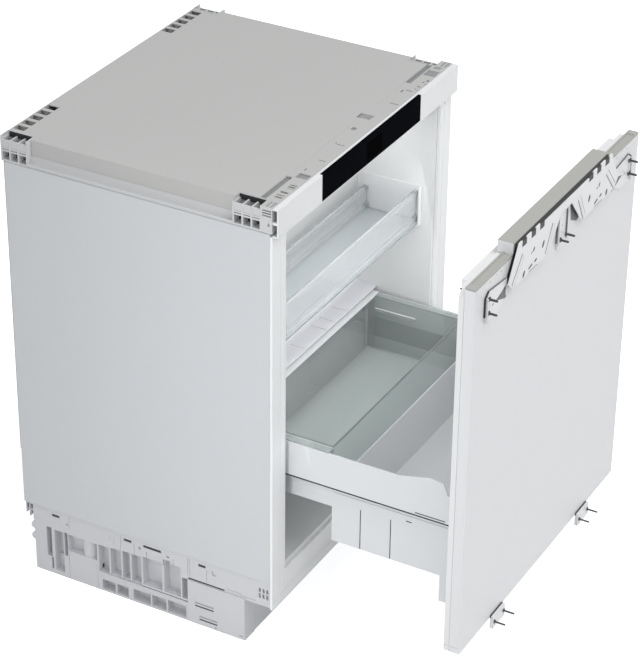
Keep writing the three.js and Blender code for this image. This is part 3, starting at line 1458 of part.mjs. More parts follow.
addSidePanels(cabinet);
addShellPlates(cabinet);
addInsulation(cabinet);
addInnerLiner(cabinet);
addFrontFrame(cabinet);
addFascia(cabinet);
addTopPanel(cabinet);
addTopFrontRail(cabinet);
addTopSideRails(cabinet);
addRearHousing(cabinet);
addFanMotor(cabinet);
addFanWheel(cabinet);
addEvaporator(cabinet);
addRack(cabinet);
addBaseSkirts(cabinet);
addSkirtCovers(cabinet);
addPlinthAndFloor(cabinet);
addFeet(cabinet);
addMachineRoom(cabinet);
addRails(cabinet, middleRails, drawer);
addDrawerSides(drawer);
addCrossRail(drawer);
addGlassBin(drawer);
addBottleBin(drawer);
addDoorPanels(drawer);
addGasket(drawer);
addDoorTop(drawer);
addTraverse(drawer);
addBrackets(drawer);

const model = new THREE.Group();
model.add(refrigerator);

export default model;
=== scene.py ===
import json
import math

import bmesh
import bpy
from mathutils import Matrix, Vector

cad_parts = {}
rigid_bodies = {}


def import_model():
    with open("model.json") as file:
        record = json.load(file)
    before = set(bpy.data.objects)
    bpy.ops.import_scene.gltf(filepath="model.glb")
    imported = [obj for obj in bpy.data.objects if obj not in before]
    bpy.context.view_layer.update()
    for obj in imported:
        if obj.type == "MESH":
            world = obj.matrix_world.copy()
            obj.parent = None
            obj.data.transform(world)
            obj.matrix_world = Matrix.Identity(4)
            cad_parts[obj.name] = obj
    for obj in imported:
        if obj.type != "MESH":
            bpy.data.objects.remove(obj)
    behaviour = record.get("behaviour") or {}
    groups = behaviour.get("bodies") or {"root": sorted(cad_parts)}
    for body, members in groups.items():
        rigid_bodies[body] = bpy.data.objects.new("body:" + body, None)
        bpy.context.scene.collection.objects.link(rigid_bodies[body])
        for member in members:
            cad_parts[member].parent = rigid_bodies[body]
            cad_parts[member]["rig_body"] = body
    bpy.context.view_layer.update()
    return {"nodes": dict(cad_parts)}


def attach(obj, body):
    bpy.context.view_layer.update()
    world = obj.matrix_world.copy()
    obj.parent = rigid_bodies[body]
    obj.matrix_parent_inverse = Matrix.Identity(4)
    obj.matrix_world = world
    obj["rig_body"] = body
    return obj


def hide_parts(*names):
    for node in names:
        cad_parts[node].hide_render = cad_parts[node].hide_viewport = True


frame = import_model()

# Sizes below are in millimetres, as a fitter measures them: x from the middle, y back from the
# fascia's face, z up from the floor. The drawer's pieces are given where they stand, pulled out.

# ---------------------------------------------------------------- camera
# It stands to the front left of the appliance and looks down on it with a long lens. Its place,
# its turn and its lens were solved from corners of the cabinet and of the door.
yaw, pitch, roll = (math.radians(angle) for angle in (-61.239, 30.549, 0.659))
away = Vector((math.sin(yaw) * math.cos(pitch), -math.cos(yaw) * math.cos(pitch), math.sin(pitch)))
level = (-away).cross(Vector((0, 0, 1))).normalized()
rise = level.cross(-away)
to_right = level * math.cos(roll) + rise * math.sin(roll)
to_top = rise * math.cos(roll) - level * math.sin(roll)
camera = bpy.data.objects.new("camera", bpy.data.cameras.new("long_lens"))
camera.data.sensor_width = 36
camera.data.lens = 138.46
camera.data.clip_end = 60
camera_turn = Matrix((to_right, to_top, away)).transposed().to_4x4()
camera.matrix_world = Matrix.Translation((-3.1681, -1.8976, 2.5701)) @ camera_turn
bpy.context.scene.collection.objects.link(camera)
bpy.context.scene.camera = camera

# ---------------------------------------------------------------- studio
# A pale floor that reads as white to the lens and keeps the object's soft shadow, even light from
# all round, a wide soft box above the front, a tall one at the left, and small ones that fill the
# open front, the inside, its ceiling and the space under the drawer.
bpy.context.scene.view_settings.view_transform = "Standard"


def seen_by_lens(tree):
    """1 for rays that come from the lens, straight or by way of gloss or glass, 0 for all others."""
    path = tree.nodes.new("ShaderNodeLightPath")
    found = path.outputs["Is Camera Ray"]
    for kind in ("Is Glossy Ray", "Is Transmission Ray"):
        either = tree.nodes.new("ShaderNodeMath")
        either.operation = "MAXIMUM"
        tree.links.new(found, either.inputs[0])
        tree.links.new(path.outputs[kind], either.inputs[1])
        found = either.outputs[0]
    return found


surround = bpy.data.worlds.new("even_light")
bpy.context.scene.world = surround
surround.use_nodes = True
sky = surround.node_tree
even = sky.nodes["Background"]
even.inputs["Color"].default_value = (0.97, 0.985, 1.0, 1)
even.inputs["Strength"].default_value = 0.6
white = sky.nodes.new("ShaderNodeBackground")
white.inputs["Color"].default_value = (1, 1, 1, 1)
choose = sky.nodes.new("ShaderNodeMixShader")
sky.links.new(seen_by_lens(sky), choose.inputs[0])
sky.links.new(even.outputs[0], choose.inputs[1])
sky.links.new(white.outputs[0], choose.inputs[2])
sky.links.new(choose.outputs[0], sky.nodes["World Output"].inputs["Surface"])

floor_mesh = bpy.data.meshes.new("floor")
floor_mesh.from_pydata([(-9, -9, 0), (9, -9, 0), (9, 9, 0), (-9, 9, 0)], [], [(0, 1, 2, 3)])
floor = bpy.data.objects.new("floor", floor_mesh)
bpy.context.scene.collection.objects.link(floor)
floor_look = bpy.data.materials.new("floor_paper")
floor_look.use_nodes = True
paper = floor_look.node_tree
paper.nodes.remove(paper.nodes["Principled BSDF"])
matt = paper.nodes.new("ShaderNodeBsdfDiffuse")
matt.inputs["Color"].default_value = (0.8, 0.8, 0.8, 1)
glow = paper.nodes.new("ShaderNodeEmission")
level_up = paper.nodes.new("ShaderNodeMath")
level_up.operation = "MULTIPLY"
level_up.inputs[1].default_value = 0.75
paper.links.new(seen_by_lens(paper), level_up.inputs[0])
paper.links.new(level_up.outputs[0], glow.inputs["Strength"])
both = paper.nodes.new("ShaderNodeAddShader")
paper.links.new(matt.outputs[0], both.inputs[0])
paper.links.new(glow.outputs[0], both.inputs[1])
paper.links.new(both.outputs[0], paper.nodes["Material Output"].inputs["Surface"])
floor_mesh.materials.append(floor_look)


def soft_box(name, place, aim, size, power):
    """A rectangular lamp at a place, turned to an aim. The lens doesn't see it."""
    lamp = bpy.data.lights.new(name, "AREA")
    lamp.shape = "RECTANGLE"
    lamp.size, lamp.size_y = size
    lamp.energy = power
    holder = bpy.data.objects.new(name, lamp)
    holder.location = place
    holder.rotation_euler = (Vector(aim) - Vector(place)).to_track_quat("-Z", "Y").to_euler()
    holder.visible_camera = holder.visible_glossy = holder.visible_transmission = False
    bpy.context.scene.collection.objects.link(holder)


soft_box("front_box", (-0.5, -2.0, 4.0), (0.0, -0.2, 0.5), (2.6, 2.6), 72)
soft_box("left_box", (-0.95, -0.3, 0.5), (-0.3, -0.3, 0.45), (0.15, 1.4), 2.5)
soft_box("opening_box", (0.0, -0.54, 0.5), (0.0, 0.2, 0.42), (0.5, 0.5), 0.5)
soft_box("inner_box", (0.0, -0.246, 0.5), (0.0, 0.2, 0.4), (0.5, 0.3), 0.2)
soft_box("ceiling_light", (0.0, -0.12, 0.752), (0.0, -0.14, 0.4), (0.44, 0.12), 0.42)
soft_box("under_drawer_box", (0.0, -0.262, 0.22), (0.0, 0.1, 0.2), (0.4, 0.08), 0.06)

# ---------------------------------------------------------------- side panels
# Folded sheet steel with a light grey baked enamel, hooked over the shell and screwed behind.
# The enamel has the faint orange peel of all baked paint.


def tone(code):
    """Linear colour from a paint maker's hex code."""
    parts = [int(code[i:i + 2], 16) / 255 for i in (1, 3, 5)]
    return [c / 12.92 if c <= 0.04045 else ((c + 0.055) / 1.055) ** 2.4 for c in parts]


def finish(name, code, rough, grain=700, relief=0.02, mottle=0.015, spread=0.04, brushed=None,
           **shader_values):
    """Material with a broad colour variation, a fine grain in its gloss, and that grain as relief in mm."""
    look = bpy.data.materials.new(name)
    look.use_nodes = True
    tree = look.node_tree
    shader = tree.nodes["Principled BSDF"]
    place = tree.nodes.new("ShaderNodeTexCoord").outputs["Object"]
    broad = tree.nodes.new("ShaderNodeTexNoise")
    broad.inputs["Scale"].default_value = 5
    tree.links.new(place, broad.inputs["Vector"])
    fine = tree.nodes.new("ShaderNodeTexNoise")
    fine.inputs["Scale"].default_value = grain
    fine.inputs["Detail"].default_value = 3
    if brushed:
        stretch = tree.nodes.new("ShaderNodeMapping")
        stretch.inputs["Scale"].default_value = brushed
        tree.links.new(place, stretch.inputs["Vector"])
        place = stretch.outputs[0]
    tree.links.new(place, fine.inputs["Vector"])
    colour = tone(code)
    mix = tree.nodes.new("ShaderNodeMix")
    mix.data_type = "RGBA"
    mix.inputs["A"].default_value = [min(1, c * (1 - mottle)) for c in colour] + [1]
    mix.inputs["B"].default_value = [min(1, c * (1 + mottle)) for c in colour] + [1]
    tree.links.new(broad.outputs["Fac"], mix.inputs["Factor"])
    tree.links.new(mix.outputs["Result"], shader.inputs["Base Color"])
    gloss = tree.nodes.new("ShaderNodeMapRange")
    gloss.inputs["From Min"].default_value = 0.3
    gloss.inputs["From Max"].default_value = 0.7
    gloss.inputs["To Min"].default_value = max(0, rough - spread)
    gloss.inputs["To Max"].default_value = rough + spread
    tree.links.new(fine.outputs["Fac"], gloss.inputs["Value"])
    tree.links.new(gloss.outputs["Result"], shader.inputs["Roughness"])
    bump = tree.nodes.new("ShaderNodeBump")
    bump.inputs["Distance"].default_value = relief / 1000
    tree.links.new(fine.outputs["Fac"], bump.inputs["Height"])
    tree.links.new(bump.outputs["Normal"], shader.inputs["Normal"])
    for socket, value in shader_values.items():
        shader.inputs[socket.replace("_", " ")].default_value = value
    return look


CREASE = math.radians(35)


def new_piece(name, mesh, look, body, radius=0.0):
    """Adds a finished piece to its body, with its edges rounded to a radius in mm."""
    piece = bpy.data.objects.new(name, mesh)
    bpy.context.scene.collection.objects.link(piece)
    mesh.name = name
    mesh.materials.clear()
    mesh.materials.append(look)
    mesh.shade_smooth()
    if radius:
        edges = piece.modifiers.new("rounded_edges", "BEVEL")
        edges.width = radius / 1000
        edges.segments = 2
        edges.limit_method = "ANGLE"
        edges.angle_limit = CREASE
        edges.harden_normals = True
    else:
        mesh.set_sharp_from_angle(angle=CREASE)
    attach(piece, body)
    return piece


FASCIA_FACE = -0.25


def at(x, y, z):
    """A point of the frame from its place in mm. The frame has the fascia's face at y -0.25 m."""
    return Vector((x / 1000, y / 1000 + FASCIA_FACE, z / 1000))


BOX_FACES = [(0, 2, 3, 1), (4, 5, 7, 6), (0, 1, 5, 4), (2, 6, 7, 3), (0, 4, 6, 2), (1, 3, 7, 5)]


def block_mesh(spans):
    """One mesh of several blocks, each given by its spans (x0, x1), (y0, y1), (z0, z1) in mm."""
    points, faces = [], []
    for x, y, z in spans:
        faces += [tuple(len(points) + i for i in face) for face in BOX_FACES]
        points += [at(a, b, c) for c in sorted(z) for b in sorted(y) for a in sorted(x)]
    mesh = bpy.data.meshes.new("blocks")
    mesh.from_pydata(points, [], faces)
    return mesh


def carve(mesh, cutter):
    """Takes the cutter's blocks out of a closed mesh."""
    blank = bpy.data.objects.new("blank", mesh)
    tool = bpy.data.objects.new("tool", cutter)
    for thing in (blank, tool):
        bpy.context.scene.collection.objects.link(thing)
    step = blank.modifiers.new("carve", "BOOLEAN")
    step.operation = "DIFFERENCE"
    step.solver = "EXACT"
    step.use_self = True
    step.object = tool
    graph = bpy.context.evaluated_depsgraph_get()
    result = bpy.data.meshes.new_from_object(blank.evaluated_get(graph))
    for thing in (blank, tool):
        bpy.data.objects.remove(thing)
    return result


def refine(node, look, radius, cuts=(), faces="whole"):
    """The finished piece that stands for a plain solid: details cut in, edges rounded to a radius in mm.

    Its flat faces are made whole, or whole and then cut into triangles, or left as they are.
    """
    mesh = frame["nodes"][node].data.copy()
    if "custom_normal" in mesh.attributes:
        mesh.attributes.remove(mesh.attributes["custom_normal"])
    work = bmesh.new()
    work.from_mesh(mesh)
    bmesh.ops.remove_doubles(work, verts=work.verts, dist=2e-6)
    work.to_mesh(mesh)
    work.free()
    if cuts:
        mesh = carve(mesh, block_mesh(cuts))
    if faces != "left":
        work = bmesh.new()
        work.from_mesh(mesh)
        bmesh.ops.dissolve_limit(work, angle_limit=math.radians(0.5), verts=work.verts, edges=work.edges)
        if faces == "triangles":
            bmesh.ops.triangulate(work, faces=[face for face in work.faces if len(face.verts) > 4])
        work.to_mesh(mesh)
        work.free()
    piece = new_piece(node + "_finished", mesh, look, frame["nodes"][node]["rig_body"], radius)
    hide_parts(node)
    return piece


side_enamel = finish("side_enamel", "#CBCDD0", 0.42, grain=650, relief=0.03, mottle=0.01)
for side in ("left", "right"):
    refine(f"side_panel_{side}", side_enamel, 0.45, faces="triangles")

# ---------------------------------------------------------------- sheet steel shell
# Galvanised sheet, folded and left unpainted: one over the top and rear, one round the machine
# room, and a base plate. They are screwed together under the side panels.
galvanised = finish("galvanised_sheet", "#B4B8BA", 0.42, grain=60, relief=0.01, mottle=0.08, spread=0.1,
                    Metallic=0.85)
for node in ("shell_lid_and_rear", "machine_room_cover", "base_floor"):
    refine(node, galvanised, 0.3, faces="triangles")

# ---------------------------------------------------------------- insulation
# Rigid foam, pale yellow, that was blown in between shell and liner, and between the door's two
# trays. It holds them together.
rigid_foam = finish("rigid_foam", "#E0D2A0", 0.9, grain=1400, relief=0.15, mottle=0.08)
for node in ("insulation_foam", "door_insulation"):
    frame["nodes"][node].data.materials.clear()
    frame["nodes"][node].data.materials.append(rigid_foam)

# ---------------------------------------------------------------- front frame and fascia
# White satin mouldings. The frame is clipped round the liner's opening, the fascia on top of it.
# Two fine grooves run round the frame, and the fascia's open ends are stiffened by a bar.
satin_white = finish("satin_white", "#E4E5E6", 0.36, grain=1100, relief=0.012, mottle=0.006)


SIDES = ((-1, "left"), (1, "right"))


def on_side(side, spans):
    """Blocks given for the right side, mirrored where the side is -1, the left one."""
    return [((side * x[0], side * x[1]), y, z) for x, y, z in spans]


def both_sides(*spans):
    """Blocks given for the right side, for the left side and the right one."""
    return on_side(-1, spans) + on_side(1, spans)


GROOVE = (9, 10.5)
frame_grooves = (both_sides(((273, 274), GROOVE, (98, 769.5)))
                 + both_sides(((259.5, 260.5), GROOVE, (104, 762))))
frame_grooves += [((-272.5, 272.5), GROOVE, (98, 99)), ((-259, 259), GROOVE, (104, 105))]
frame_grooves += [((-272.5, 272.5), GROOVE, (768.6, 769.5)), ((271.5, 274.5), (9, 12.5), (757, 760))]
frame_white = finish("frame_white", "#EEEFF0", 0.36, grain=1100, relief=0.012, mottle=0.006)
refine("front_frame", frame_white, 0, frame_grooves)
refine("fascia", satin_white, 0.5)
end_bars = block_mesh(both_sides(((292, 298.2), (2.5, 10), (793, 797.5))))
new_piece("fascia_end_bars", end_bars, satin_white, "cabinet", 0.5)

# ---------------------------------------------------------------- touch panel
# Black glass over the controls, wrapped over the top edge, with a darker display window in it.
# The marks behind the window are plain strokes.
touch_glass = finish("touch_glass", "#0A0B0F", 0.12, grain=300, relief=0.002, mottle=0.02, spread=0.02,
                     Specular_IOR_Level=0.3, IOR=1.02)
display_glass = finish("display_glass", "#030304", 0.08, grain=300, relief=0.002, mottle=0.02, spread=0.02,
                       Specular_IOR_Level=0.3, IOR=1.02)
lit_marks = finish("lit_marks", "#9EA4A8", 0.4, mottle=0.05, relief=0.0)
refine("control_panel", touch_glass, 0.5)
refine("display_window", display_glass, 0.2)
marks = [((-10, -1), (-0.0, 0.05), (806.2, 807.4)), ((11.5, 14.5), (-0.0, 0.05), (785.2, 786.6)),
         ((12.4, 13.6), (-0.0, 0.05), (784.2, 787.6))]
new_piece("display_marks", block_mesh(marks), lit_marks, "cabinet")

# ---------------------------------------------------------------- plastic top
# A mid grey moulded board with ribbed pockets in its rear corners. Its front rail and side ledges
# are lighter mouldings with clip slots; the rail's top faces take the board's darker grey, so that
# its upright faces read lighter: painted light and shade. Their corner blocks have panels, square
# sockets, fine louvres, and wells that are open on top and crossed by comb ribs. Dark sheets and
# mid grey ribs paint the shade in its hollows, in the front corner channels and in the wells.


def row_group():
    """Node group that sets copies of one part in a row, each one moved and turned from the one before."""
    group = bpy.data.node_groups.new("row_of_parts", "GeometryNodeTree")
    face = group.interface
    face.new_socket("Part", in_out="INPUT", socket_type="NodeSocketGeometry")
    face.new_socket("Count", in_out="INPUT", socket_type="NodeSocketInt")
    face.new_socket("Step", in_out="INPUT", socket_type="NodeSocketVector")
    face.new_socket("Turn", in_out="INPUT", socket_type="NodeSocketVector")
    face.new_socket("Material", in_out="INPUT", socket_type="NodeSocketMaterial")
    face.new_socket("Row", in_out="OUTPUT", socket_type="NodeSocketGeometry")
    given = group.nodes.new("NodeGroupInput")
    line = group.nodes.new("GeometryNodeMeshLine")
    number = group.nodes.new("GeometryNodeInputIndex")
    angle = group.nodes.new("ShaderNodeVectorMath")
    angle.operation = "SCALE"
    rotation = group.nodes.new("FunctionNodeEulerToRotation")
    copies = group.nodes.new("GeometryNodeInstanceOnPoints")
    real = group.nodes.new("GeometryNodeRealizeInstances")
    paint = group.nodes.new("GeometryNodeSetMaterial")
    result = group.nodes.new("NodeGroupOutput")
    for source, target in (
        (given.outputs["Count"], line.inputs["Count"]),
        (given.outputs["Step"], line.inputs["Offset"]),
        (given.outputs["Turn"], angle.inputs[0]),
        (number.outputs["Index"], angle.inputs["Scale"]),
        (angle.outputs["Vector"], rotation.inputs["Euler"]),
        (line.outputs["Mesh"], copies.inputs["Points"]),
        (given.outputs["Part"], copies.inputs["Instance"]),
        (rotation.outputs["Rotation"], copies.inputs["Rotation"]),
        (copies.outputs["Instances"], real.inputs["Geometry"]),
        (real.outputs["Geometry"], paint.inputs["Geometry"]),
        (given.outputs["Material"], paint.inputs["Material"]),
        (paint.outputs["Geometry"], result.inputs["Row"]),
    ):
        group.links.new(source, target)
    return group


row_of_parts = row_group()


def in_a_row(part, look, count, step=(0, 0, 0), turn=(0, 0, 0)):
    """The part's mesh repeated count times, each copy moved by a step in mm and turned by a further angle."""
    holder = bpy.data.objects.new("row", part)
    bpy.context.scene.collection.objects.link(holder)
    repeat = holder.modifiers.new("repeat", "NODES")
    repeat.node_group = row_of_parts
    values = {"Count": count, "Step": [length / 1000 for length in step], "Turn": turn, "Material": look}
    for item in row_of_parts.interface.items_tree:
        if item.name in values:
            repeat[item.identifier] = values[item.name]
    graph = bpy.context.evaluated_depsgraph_get()
    mesh = bpy.data.meshes.new_from_object(holder.evaluated_get(graph))
    bpy.data.objects.remove(holder)
    return mesh


def joined(meshes):
    """Several meshes as one."""
    work = bmesh.new()
    for mesh in meshes:
        work.from_mesh(mesh)
    result = bpy.data.meshes.new("joined")
    work.to_mesh(result)
    work.free()
    return result


top_grey = finish("top_board_grey", "#BABAB8", 0.6, grain=1500, relief=0.03, mottle=0.01)
edge_grey = finish("edge_moulding_grey", "#C8C9CA", 0.5, grain=1200, relief=0.02, mottle=0.012)
refine("top_panel", top_grey, 1.0, [((40, 56), (44, 52), (812, 821))])

# Each corner block has three cells in a row. These are their starts along y.
FRONT_CELLS = (31.9, 47.7, 63.5)
REAR_CELLS = (452.6, 468.4, 484.2)
ALL_CELLS = FRONT_CELLS + REAR_CELLS


def cell_marks(cells):
    """The short slot under the panel of each cell."""
    return [((296.2, 299), (cell + 0.3, cell + 12.5), (796.6, 798.6)) for cell in cells]


corner_cuts = both_sides(*(((294, 299), (12, 27.5), (z, z + 2.4)) for z in (804.5, 808.8, 813.1)),
                         ((296, 299), (14.5, 18), (789, 794)), *cell_marks(FRONT_CELLS),
                         ((276.5, 299.5), (31.3, 78.9), (813.5, 821)), ((193, 274), (35, 45.5), (815.5, 821)))
strip_cuts = [(40, 56, 28, 46), (-5, 5, 31, 39), (-59.5, -56.5, 33.5, 36.5), (-62.2, -60.2, 18, 32),
              (-124, -122, 17.5, 29), (-164.5, -157, 30, 32.5), (110.5, 112.5, 25, 30),
              (156.5, 166, 32.3, 35), (177.5, 180, 17, 20), (174.5, 177, 12, 14.5), (206, 209.5, 16.5, 20),
              (200.5, 203.5, 11, 14), (263, 273.5, 17, 29)]
corner_cuts += [((x0, x1), (y0, y1), (812, 821)) for x0, x1, y0, y1 in strip_cuts]
rail = refine("top_front_rail", edge_grey, 0.4, corner_cuts, faces="left")
ledge_cuts = [*cell_marks(REAR_CELLS), ((276.5, 299.5), (452, 499.6), (813.5, 821))]
for side, name in SIDES:
    refine(f"top_side_rail_{name}", edge_grey, 0.4, on_side(side, ledge_cuts), faces="left")
# The rail's top faces take the board's darker grey and its other faces keep the lighter one: light and shade
# painted by which way a face looks.
rail.data.materials.append(top_grey)
for face in rail.data.polygons:
    if face.normal.z > 0.9 and face.center.z > 0.8195:
        face.material_index = 1
inserts = [(-259, -255, 15, 28), (-252.6, -251.2, 15, 28), (-228, -225, 14, 26), (-221, -218, 14, 26),
           (-193, -190.5, 13, 33), (-175.5, -173, 13, 33), (107, 110.5, 14, 26), (112.5, 115, 14, 26),
           (157, 166.5, 14, 30), (168.8, 171, 14, 30), (166.5, 168.8, 14, 18.5), (184, 187.5, 14, 26),
           (190.5, 192, 14, 26), (187.5, 190.5, 20.5, 26), (211, 221, 16.5, 26), (211, 212.5, 13, 16.5),
           (219.5, 221, 13, 16.5)]
inserts = [((x0, x1), (y0, y1), (817, 819.95)) for x0, x1, y0, y1 in inserts]
new_piece("strip_inserts", block_mesh(inserts), top_grey, "cabinet")
# Black plastic for the real black parts; the same black also makes the sheets of painted shade in hollows,
# gaps, slots and holes.
black_plastic = finish("black_plastic", "#26272A", 0.55, grain=1300, relief=0.03)
# A mid grey used only as painted shade: in the front corner channels, on the wells' comb ribs and along the
# cold air housing's foot.
painted_shade_mid = finish("painted_shade_mid", "#8C8D8D", 0.6, grain=1300, relief=0.02)
# A mid grey sheet on the floor of each front corner channel: painted soft shade where the rail sinks below
# the board.
channel_painted_shade = block_mesh(both_sides(((193.3, 273.7), (35.3, 45), (815.6, 816.4))))
new_piece("strip_channel_painted_shade", channel_painted_shade, painted_shade_mid, "cabinet")
# Black sheets on the floors and inner walls of the rail's recesses, under the top's hole and in the corner
# wells: painted shade in these hollows.
hollow_shade_sheets = [((-272, 272), (13, 42), (812.6, 813.2)), ((38, 58), (43.2, 54), (810.5, 811.5))]
for cell in ALL_CELLS:
    span = (cell - 0.3, cell + 12.1)
    hollow_shade_sheets += both_sides(((278, 294.8), span, (805.4, 806)), ((277.2, 278.2), span, (801.7, 818.6)),
                          ((284.6, 285.4), span, (780.2, 793.8)))
hollow_shade_sheets += both_sides(((276.6, 277.2), (31.6, 78.6), (813.6, 819)),
                      ((276.6, 277.2), (452.3, 496.3), (813.6, 819)))
new_piece("hollow_painted_shade", block_mesh(hollow_shade_sheets), black_plastic, "cabinet")
# The comb ribs across the corner wells are mid grey: painted shade on their faces.
well_rib_shades = []
for cell in ALL_CELLS:
    rib = block_mesh(both_sides(((278.3, 294.8), (cell + 2.6, cell + 3.6), (806.1, 811))))
    well_rib_shades.append(in_a_row(rib, painted_shade_mid, 3, (0, 3.4, 0)))
combs = []
for x, y0, y1, count, step in ((-189.4, 13.2, 32.8, 4, 3.6), (234.8, 13.2, 32.8, 6, 3.9),
                               (42, 28.4, 51.6, 5, 3.1), (-3.6, 31.3, 38.7, 3, 3)):
    recess_rib = block_mesh([((x, x + 1), (y0, y1), (813.4, 818))])
    combs.append(in_a_row(recess_rib, edge_grey, count, (step, 0, 0)))
louvre = block_mesh([((263.2, 273.3), (19, 20.6), (813.4, 818))])
combs.append(in_a_row(louvre, edge_grey, 3, (0, 3.6, 0)))
new_piece("corner_combs", joined(combs), edge_grey, "cabinet")
new_piece("comb_flank_painted_shade", joined(well_rib_shades), painted_shade_mid, "cabinet")

# ---------------------------------------------------------------- liner and cold air housing
# Vacuum formed white liner with soft corners, and the moulded duct at its rear that hides the fan
# and the evaporator. Its lip reaches forward over the drawer, under a slot for the cold air. The
# lip's upward faces are a cooler, darker white, painted shade under the rack, and a grey strip
# paints the shade along the duct's foot.
liner_white = finish("liner_white", "#E4E5E5", 0.36, grain=900, relief=0.015, mottle=0.006)
lip_shade_grey = finish("lip_shade_grey", "#D6D6DB", 0.4, grain=900, relief=0.015, mottle=0.008)
refine("inner_liner", liner_white, 1.0)
housing_cuts = [((247.3, 249.3), (159, 161.8), (396, 530)), ((-243, 243), (159, 162), (408, 413))]
housing_cuts += [((x, x + 1.8), (117, 150), (389.6, 392)) for x in (-145, -102, -72, 0, 72, 102, 145)]
housing = refine("rear_housing", liner_white, 0.5, housing_cuts)
# The lip's upward faces take a cooler, darker white: painted shade under the rack.
housing.data.materials.append(lip_shade_grey)
for face in housing.data.polygons:
    if face.normal.z > 0.9 and face.center.z < 0.4:
        face.material_index = 1
# A grey strip along the duct's foot paints the shade where its face meets the lip.
foot_painted_shade = block_mesh([((-242, 242), (159.2, 160.2), (393, 406))])
new_piece("housing_foot_painted_shade", foot_painted_shade, painted_shade_mid, "cabinet")

# ---------------------------------------------------------------- fan, motor and evaporator
# A black fan motor on three moulded spokes, a white moulded wheel of seven blades pressed on its
# shaft, and an evaporator of aluminium tube with fins pressed on.
drawer_white = finish("drawer_white", "#DBDDDF", 0.34, grain=1000, relief=0.012, mottle=0.006)
bare_aluminium = finish("bare_aluminium", "#CDD1D4", 0.34, grain=400, relief=0.01, mottle=0.04, Metallic=0.9)


def turned_mesh(profile, centre, axis="Z", steps=40):
    """A mesh turned from its outline, (radius, distance along the axis) in mm, round a centre in mm."""
    work = bmesh.new()
    points = [work.verts.new((radius / 1000, 0, height / 1000)) for radius, height in profile]
    lines = [work.edges.new(pair) for pair in zip(points, points[1:])]
    bmesh.ops.spin(work, geom=points + lines, axis=(0, 0, 1), cent=(0, 0, 0), angle=2 * math.pi, steps=steps)
    bmesh.ops.remove_doubles(work, verts=work.verts, dist=1e-6)
    holes = [edge for edge in work.edges if edge.is_boundary]
    if holes:
        bmesh.ops.holes_fill(work, edges=holes)
    bmesh.ops.recalc_face_normals(work, faces=work.faces)
    mesh = bpy.data.meshes.new("turned")
    work.to_mesh(mesh)
    work.free()
    turn = Matrix.Rotation(math.radians(90), 4, "X") if axis == "Y" else Matrix()
    mesh.transform(Matrix.Translation(at(*centre)) @ turn)
    return mesh


refine("fan_motor", black_plastic, 0.4)
FAN_CENTRE = (0, 172.2, 690)
BLADE_RINGS, CHORD_POINTS = 9, 7
hub_profile = [(0, -6), (15, -6), (18.4, -5), (19, -3.5), (19, 6), (0, 6)]
hub = turned_mesh(hub_profile, FAN_CENTRE, "Y")
blade_points, blade_faces = [], []
for i in range(BLADE_RINGS):
    reach = 17.5 + i * 4
    pitch = math.radians(44 - i * 2.6)
    for j in range(CHORD_POINTS):
        across_chord = (j / (CHORD_POINTS - 1) - 0.5) * (13 + i * 0.9)
        camber = 1.6 * (1 - (2 * j / (CHORD_POINTS - 1) - 1) ** 2)
        for half in (-0.55, 0.55):
            along = across_chord * math.cos(pitch) - (camber + half) * math.sin(pitch)
            deep = across_chord * math.sin(pitch) * 0.62 + (camber + half) * math.cos(pitch)
            blade_points.append((along / 1000, deep / 1000, reach / 1000))
ring = 2 * CHORD_POINTS
for i in range(BLADE_RINGS - 1):
    for j in range(CHORD_POINTS - 1):
        low = i * ring + j * 2
        blade_faces += [(low, low + 2, low + ring + 2, low + ring),
                        (low + 1, low + ring + 1, low + ring + 3, low + 3)]
    for low in (i * ring, (i + 1) * ring - 2):
        blade_faces.append((low, low + ring, low + ring + 1, low + 1))
for first in (0, (BLADE_RINGS - 1) * ring):
    for low in range(first, first + ring - 2, 2):
        blade_faces.append((low, low + 1, low + 3, low + 2))
blade = bpy.data.meshes.new("fan_blade")
blade.from_pydata(blade_points, [], blade_faces)
straighten = bmesh.new()
straighten.from_mesh(blade)
bmesh.ops.recalc_face_normals(straighten, faces=straighten.faces)
straighten.to_mesh(blade)
straighten.free()
BLADES = 7
blades = in_a_row(blade, drawer_white, BLADES, turn=(0, 2 * math.pi / BLADES, 0))
blades.transform(Matrix.Translation(at(*FAN_CENTRE)))
wheel = new_piece("fan_wheel_finished", joined([hub, blades]), drawer_white, "fan_wheel")
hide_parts("circulation_fan")
fin = block_mesh([((-168, -167.4), (352, 431.6), (431.4, 621))])
fins = in_a_row(fin, bare_aluminium, 57, (6, 0, 0))


def bent_pipe(points, radius, sides=12):
    """A pipe along points in mm, closed at both ends."""
    places = [at(*point) for point in points]
    work = bmesh.new()
    rings = []
    side_way = None
    for i, place in enumerate(places):
        ahead = (places[min(i + 1, len(places) - 1)] - places[max(i - 1, 0)]).normalized()
        if side_way is None:
            side_way = ahead.orthogonal().normalized()
        side_way = (side_way - ahead * side_way.dot(ahead)).normalized()
        other_way = ahead.cross(side_way)
        ring = []
        for j in range(sides):
            angle = 2 * math.pi * j / sides
            outwards = side_way * math.cos(angle) + other_way * math.sin(angle)
            ring.append(work.verts.new(place + outwards * radius / 1000))
        rings.append(ring)
    for near, far in zip(rings, rings[1:]):
        for j in range(sides):
            work.faces.new((near[j], near[(j + 1) % sides], far[(j + 1) % sides], far[j]))
    work.faces.new(rings[0])
    work.faces.new(rings[-1])
    bmesh.ops.recalc_face_normals(work, faces=work.faces)
    mesh = bpy.data.meshes.new("pipe")
    work.to_mesh(mesh)
    work.free()
    return mesh


